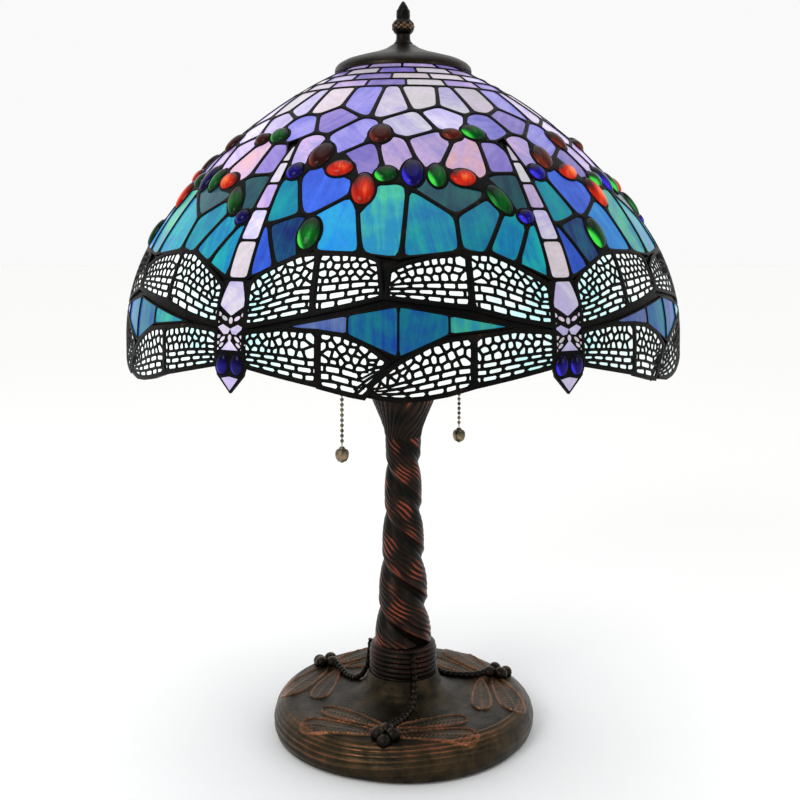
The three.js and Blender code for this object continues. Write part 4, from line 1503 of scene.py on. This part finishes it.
def ripple_relief(angle, radius, z):
    """Rings of water on the outer slope, which wander in and out round the base."""
    wander = 2.2 * np.sin(3 * angle + 0.7) + 1.2 * np.sin(5 * angle)
    at = radius + (29 - z) * 0.9
    ring = np.sin(2 * math.pi * (at + wander) / 5.2)
    amount = np.clip((at - 97) / 5, 0, 1) * np.clip((z - 5) / 6, 0, 1)
    amount = amount * (0.55 + 0.45 * np.sin(2 * angle + 1.9 + at / 9))
    return 0.6 * ring * amount, np.clip(0.55 * ring**3 * amount, 0, 1)


# %% Cast the base
BASE_LOW, HUB_TOP = heights("base_casting")
base_top = fine_profile([(29.6, HUB_TOP), (30.6, 44), (33, 37.5), (38, 33), (47, 29.8), (58, 28.3),
                         (78, 28.0), (94, 28.4), (101.5, 27.6), (107, 24.4), (110.8, 19.5), (112.4, 13),
                         (112.2, 7), (110.6, BASE_LOW)], 0.95)
base_inside = [(106.5, BASE_LOW), (107, 12), (96, 24.5), (30, 25), (21, 40), (BORE_R, 40), (BORE_R, HUB_TOP)]
COLUMNS = 640
rings = profile_rings(base_top + base_inside, COLUMNS)
x, y, z = np.moveaxis(rings[:len(base_top)], -1, 0)  # views, so z follows the relief once that is added
front_angle = np.arctan2(x, -y)
radius = np.hypot(x, y)
up, rub = dragonfly_relief(front_angle, radius)
on_top = np.clip((radius - 34) / 8, 0, 1) * np.clip((z - 22) / 4, 0, 1)
wave, wave_rub = ripple_relief(front_angle, radius, z)
outwards = np.stack([np.sin(front_angle), -np.cos(front_angle), np.zeros_like(radius)], -1)
slope = np.clip((radius - 99) / 9, 0, 1)[..., None]
direction = outwards * slope + np.array([0, 0, 1.0]) * (1 - slope)
wavy_edge = (1.6 * np.abs(np.sin(2.5 * front_angle + 0.7)) - 1.9) * np.clip((radius - 92) / 15, 0, 1)
rings[:len(base_top)] += direction * (up * on_top + wave)[..., None] + outwards * wavy_edge[..., None]
lip = np.exp(-(((radius - 104) / 3.5) ** 2)) * (z > 18)
base_wear = np.zeros(rings.shape[:2])
base_wear[:len(base_top)] = np.clip(0.16 + rub * on_top + wave_rub + 0.2 * lip, 0, 1)
points, faces = ring_grid(rings, closed=True)
skin("base_relief", points, faces, "root", "bronze", BASE_BRONZE, ["base_casting"],
     {"wear": base_wear.ravel()}, sharp=60)
print("base:", len(faces[0]), "quads")

# %% [markdown]
# Eyes and tails stand too far out of the base for a relief, so they are bodies of their own. The tail
# is a string of beads along a path: it leaves the chest, crosses the dish and climbs the collar. A bead
# chain's radius is a mean radius plus |sin| along its length.

# %% Eyes and tails on the base


def ball(middle, radius, rows=12, columns=20):
    """A sphere: middle plus radius times (sin, cos) of its two angles."""
    polar = np.linspace(0.02, math.pi - 0.02, rows)[:, None]
    around = np.linspace(0, 2 * math.pi, columns, endpoint=False)[None]
    ring = np.sin(polar)
    rings = np.stack([ring * np.cos(around), ring * np.sin(around), np.cos(polar) + 0 * around], -1)
    return ring_grid(np.asarray(middle) + radius * rings[::-1], closed=False)


def tube_along(path, radii, columns):
    """A tube round a path: at each point a circle across the path's direction."""
    path = np.asarray(path, float)
    ahead = np.gradient(path, axis=0)
    ahead /= np.linalg.norm(ahead, axis=1)[:, None]
    side = np.cross(ahead, [0.31, 0.87, 0.21])
    side /= np.linalg.norm(side, axis=1)[:, None]
    other = np.cross(ahead, side)
    angle = np.linspace(0, 2 * math.pi, columns, endpoint=False)
    cosine, sine = np.cos(angle)[None, :, None], np.sin(angle)[None, :, None]
    circle = side[:, None] * cosine + other[:, None] * sine
    return ring_grid(path[:, None] + circle * np.asarray(radii)[:, None, None], closed=False)


HEAD_BALLS = [(-6, 91, 31.4, 5.9), (6, 91, 31.4, 5.9), (0, 99, 29.4, 5.6), (0, 83, 31.3, 6.0)]  # places, size
TAIL_PATH = [(0, 80, 32), (3, 70, 30), (9, 57, 29.6), (13, 44, 31.8), (14.5, 34, 38.5), (14, 28.6, 48),
             (13, 27.6, 60), (12, 26.9, 71)]  # sideways, outwards and up
TAIL_BEAD, TAIL_COLUMNS = 5.2, 16
ornaments = Batch()
for head in HEAD_ANGLES:
    turn = np.array([[math.cos(head), math.sin(head), 0], [-math.sin(head), math.cos(head), 0], [0, 0, 1]])
    for sideways, outwards, z, size in HEAD_BALLS:
        points, faces = ball(np.array([sideways, -outwards, z]) @ turn, size)
        ornaments.add(points, faces, wear=np.clip(0.1 + 0.5 * (points[:, 2] - z) / size, 0, 1))
    path, at = smooth_path([np.array([x, -y, z]) @ turn for x, y, z in TAIL_PATH], 150, 12)
    beads = np.abs(np.sin(math.pi * at / TAIL_BEAD))
    radii = (3.4 - 1.5 * at / at[-1]) * (0.72 + 0.34 * beads**0.7)
    points, faces = tube_along(path, radii, TAIL_COLUMNS)
    wear = np.concatenate([np.repeat(0.08 + 0.4 * beads**4, TAIL_COLUMNS), [0.1, 0.1]])
    ornaments.add(points, faces, wear=wear)
ornaments.piece("base_dragonflies", "root", "bronze", CAP_BRONZE, sharp=70)

# %% [markdown]
# ## Sockets, bulbs and pull chains
#
# Both sockets lean up from the cluster's middle. Their pieces are turned about +Z first and then laid
# along the socket's own axis, which the bulb's joint gives: its axis and its place.

# %% Along a socket
CLUSTER = {}
for joint in frame["joints"]:
    if joint["name"].startswith("bulb_"):
        side = joint["name"].split("_")[1]
        CLUSTER[side] = np.array(joint["axis"], float), 1000 * np.array(joint["pos_m"], float)


def along_socket(side):
    """Takes points made about +Z, with z the distance along the axis, to the socket's place."""
    axis, origin = CLUSTER[side]
    axis = axis / np.linalg.norm(axis)
    flat = np.cross([0, 0, 1.0], axis)
    flat /= np.linalg.norm(flat)
    other = np.cross(axis, flat)
    return lambda points: origin + points[:, :1] * flat + points[:, 1:2] * other + points[:, 2:] * axis


def hung_at(x, y):
    return lambda points: points + [x, y, 0]


def hanging(node):
    """A node's lowest and highest point, and where it hangs, all in millimetres."""
    low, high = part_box(node)
    return 1000 * low.z, 1000 * high.z, hung_at(500 * (low.x + high.x), 500 * (low.y + high.y))


SHELL_BEAD = [(17.0 if k % 2 else 16.75, z) for k, z in enumerate(np.linspace(37, 40, 7))]
SCREW_THREAD = [(13.2 if k % 2 else 12.5, z) for k, z in enumerate(np.arange(50, 69.6, 1.8))]
SOCKET_CAP = [(5.2, 26), (8, 26), (10.5, 26.6), (13.2, 28.2), (15.2, 31), (16.6, 34.2), (17, 35.7),
              (15.8, 35.7), (15.0, 33.4), (13.4, 30.4), (10, 28.4), (5.2, 28)]
SOCKET_SHELL = [(15.8, 36), (16.9, 36), *SHELL_BEAD, (16.9, 41), (16.9, 69.5), (17, 70.4), (17, 71.8),
                (16.6, 72), (15.8, 72)]
BULB_CAP = [(0.1, 43), (4.4, 43), (5.2, 43.8), (9.5, 46), (12.4, 48.4), *SCREW_THREAD, (12.8, 69.6),
            (0.1, 69.6)]
BULB = [(0.1, 70), *fine_profile([(13.3, 70), (13.8, 73), (15.4, 80), (18.8, 88), (23.4, 96.4), (27.4, 104),
                                  (29.6, 111.5), (29.9, 118), (28.6, 126), (25.3, 133.6), (20, 140.4),
                                  (12.8, 145.8), (5.8, 148.2), (0.1, 148.6)], 1.6)]
BEAD_PITCH, BEAD_R, WIRE_R = 4.25, 1.6, 0.45

for side in CLUSTER:
    lay = along_socket(side)
    turned(f"socket_cap_spun_{side}", SOCKET_CAP, "root", "aged_brass", AGED_BRASS, [f"socket_cap_{side}"],
           place=lay)
    turned(f"socket_shell_spun_{side}", SOCKET_SHELL, "root", "aged_brass", AGED_BRASS,
           [f"socket_shell_{side}"], place=lay)
    turned(f"bulb_cap_rolled_{side}", BULB_CAP, f"bulb_{side}", "steel", STEEL, [f"bulb_cap_{side}"],
           closed=False, place=lay, sharp=50)
    turned(f"bulb_blown_{side}", BULB, f"bulb_{side}", "bulb_glass", LIT_BULB, [f"bulb_glass_{side}"],
           closed=False, count=48, place=lay, sharp=50)

    # The hanging chain: beads joined by thin wire, one profile from top to bottom, and the bell.
    low, top, hang = hanging(f"bead_chain_{side}")
    chain = [(0.1, top)]
    for k in range(int((top - low) / BEAD_PITCH)):
        middle = top - (k + 0.5) * BEAD_PITCH
        for a in np.linspace(1.3, -1.3, 9):
            chain.append((max(BEAD_R * math.cos(a), WIRE_R), middle + BEAD_R * math.sin(a)))
    chain += [(WIRE_R, low), (0.1, low)]
    turned(f"ball_chain_{side}", chain[::-1], f"chain_{side}", "aged_brass", AGED_BRASS,
           [f"bead_chain_{side}"], closed=False, count=14, place=hang, sharp=70)
    low, top, _ = hanging(f"chain_bell_{side}")
    middle = (top + low) / 2
    bell = fine_profile([(0.1, low), (1.0, low + 0.1), (1.8, low + 1.1), (3.7, middle - 5.2),
                         (5.0, middle - 3.0), (5.7, middle - 0.2), (5.6, middle + 2.0), (4.7, middle + 4.0),
                         (2.6, middle + 5.0), (2.2, middle + 5.6), (1.9, top - 0.2), (0.1, top)], 0.35)
    turned(f"bell_pull_{side}", bell, f"chain_{side}", "aged_brass", AGED_BRASS, [f"chain_bell_{side}"],
           closed=False, count=48, place=hang, sharp=60)
print("sockets at", {side: np.round(origin, 1).tolist() for side, (_, origin) in CLUSTER.items()})

# %% [markdown]
# ## Pieces that keep their CAD shape
#
# Nuts, rods, the cluster, the seat, the felt and the parts inside the base are right as they are. They
# only get their finish.

# %% Finish the carried-over nodes
KEPT = {
    FELT: ["felt_pad"], IRON: ["base_weight"], BLACK_PLASTIC: ["cord_bushing"],
    STEEL: ["base_washer", "base_nut", "threaded_pipe", "crown_lock_nut", "riser_rod", "socket_nipple_a",
            "socket_nipple_b", "seat_lock_nut"],
    DARK_METAL: ["cluster_body", "cluster_cover", "shade_seat"],
    PORCELAIN: ["socket_insulator_a", "socket_insulator_b"],
    AGED_BRASS: ["chain_guide_a", "chain_guide_b", "pull_link_a", "pull_link_b", "aperture_ring"],
}
for finish, names in KEPT.items():
    for name in names:
        materials = frame["nodes"][name].data.materials
        materials.clear()
        materials.append(finish)
print("kept nodes:", sum(map(len, KEPT.values())))

# %% [markdown]
# ## Floor, light and camera
#
# A pale floor and soft, plain studio light: a large key from the left, a weaker fill from the right and
# a wide, soft sun from above. The world is bright behind the lamp and dimmer in front of it, so the
# background stays white and the leads stay black. The camera stands level with the shade and looks
# slightly down.

# %% Floor


FLOOR = 12.0  # half its side, in metres
corners = [(-FLOOR, -FLOOR, 0), (FLOOR, -FLOOR, 0), (FLOOR, FLOOR, 0), (-FLOOR, FLOOR, 0)]
floor = bpy.data.meshes.new("floor")
floor.from_pydata(corners, [], [(0, 1, 2, 3)])
floor.materials.append(new_finish("pale_floor", Base_Color=(0.93, 0.93, 0.92, 1), Roughness=0.7,
                                  Specular_IOR_Level=0.2)[0])
show("floor", floor)

# %% Lights and camera


def soft_light(name, place, target, size, power):
    light = bpy.data.lights.new(name, "AREA")
    light.shape, light.size, light.energy = "SQUARE", size, power
    lamp = show(name, light)
    lamp.location = place
    x, y, z = np.array(target) - np.array(place)
    lamp.rotation_euler = math.acos(-z / math.hypot(x, y, z)), 0, math.atan2(-x, y)


soft_light("key", (-1.1, -1.5, 1.3), (0, 0, 0.25), 0.9, 16)
soft_light("fill", (1.6, -1.2, 0.8), (0, 0, 0.2), 0.8, 5)

sun = bpy.data.lights.new("sky", "SUN")
sun.energy, sun.angle = 0.95, math.radians(60)
show("sky", sun)

world = bpy.data.worlds.new("studio")
bpy.context.scene.world = world
world.use_nodes = True
backdrop = world.node_tree
behind = add(backdrop, "SeparateXYZ", {"Vector": add(backdrop, "TexCoord").outputs["Generated"]}).outputs["Y"]
light = remap(backdrop, behind, -0.5, 0.5, 0.5, 0.95, "SMOOTHSTEP")
backdrop.links.new(light, backdrop.nodes["Background"].inputs["Strength"])
backdrop.nodes["Background"].inputs["Color"].default_value = (1, 1, 1, 1)
bpy.context.scene.view_settings.view_transform = "Standard"

CAMERA_DISTANCE, CAMERA_HEIGHT = 0.9238, 0.4262
CAMERA_PITCH, CAMERA_TURN = math.radians(3), math.radians(0.8)
view = bpy.data.cameras.new("camera")
view.lens, view.sensor_width = 48.9, 36
view.shift_x, view.shift_y = -0.004, -0.14
view.clip_start, view.clip_end = 0.02, 50
camera = show("camera", view)
camera.location = (CAMERA_DISTANCE * math.sin(CAMERA_TURN), -CAMERA_DISTANCE * math.cos(CAMERA_TURN),
                   CAMERA_HEIGHT)
camera.rotation_euler = (math.pi / 2 - CAMERA_PITCH, 0, CAMERA_TURN)
bpy.context.scene.camera = camera

# %% Sizes, and finish
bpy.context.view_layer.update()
triangles = sum(len(p.vertices) - 2 for o in bpy.data.objects if o.type == "MESH" for p in o.data.polygons)
print("triangles:", triangles)
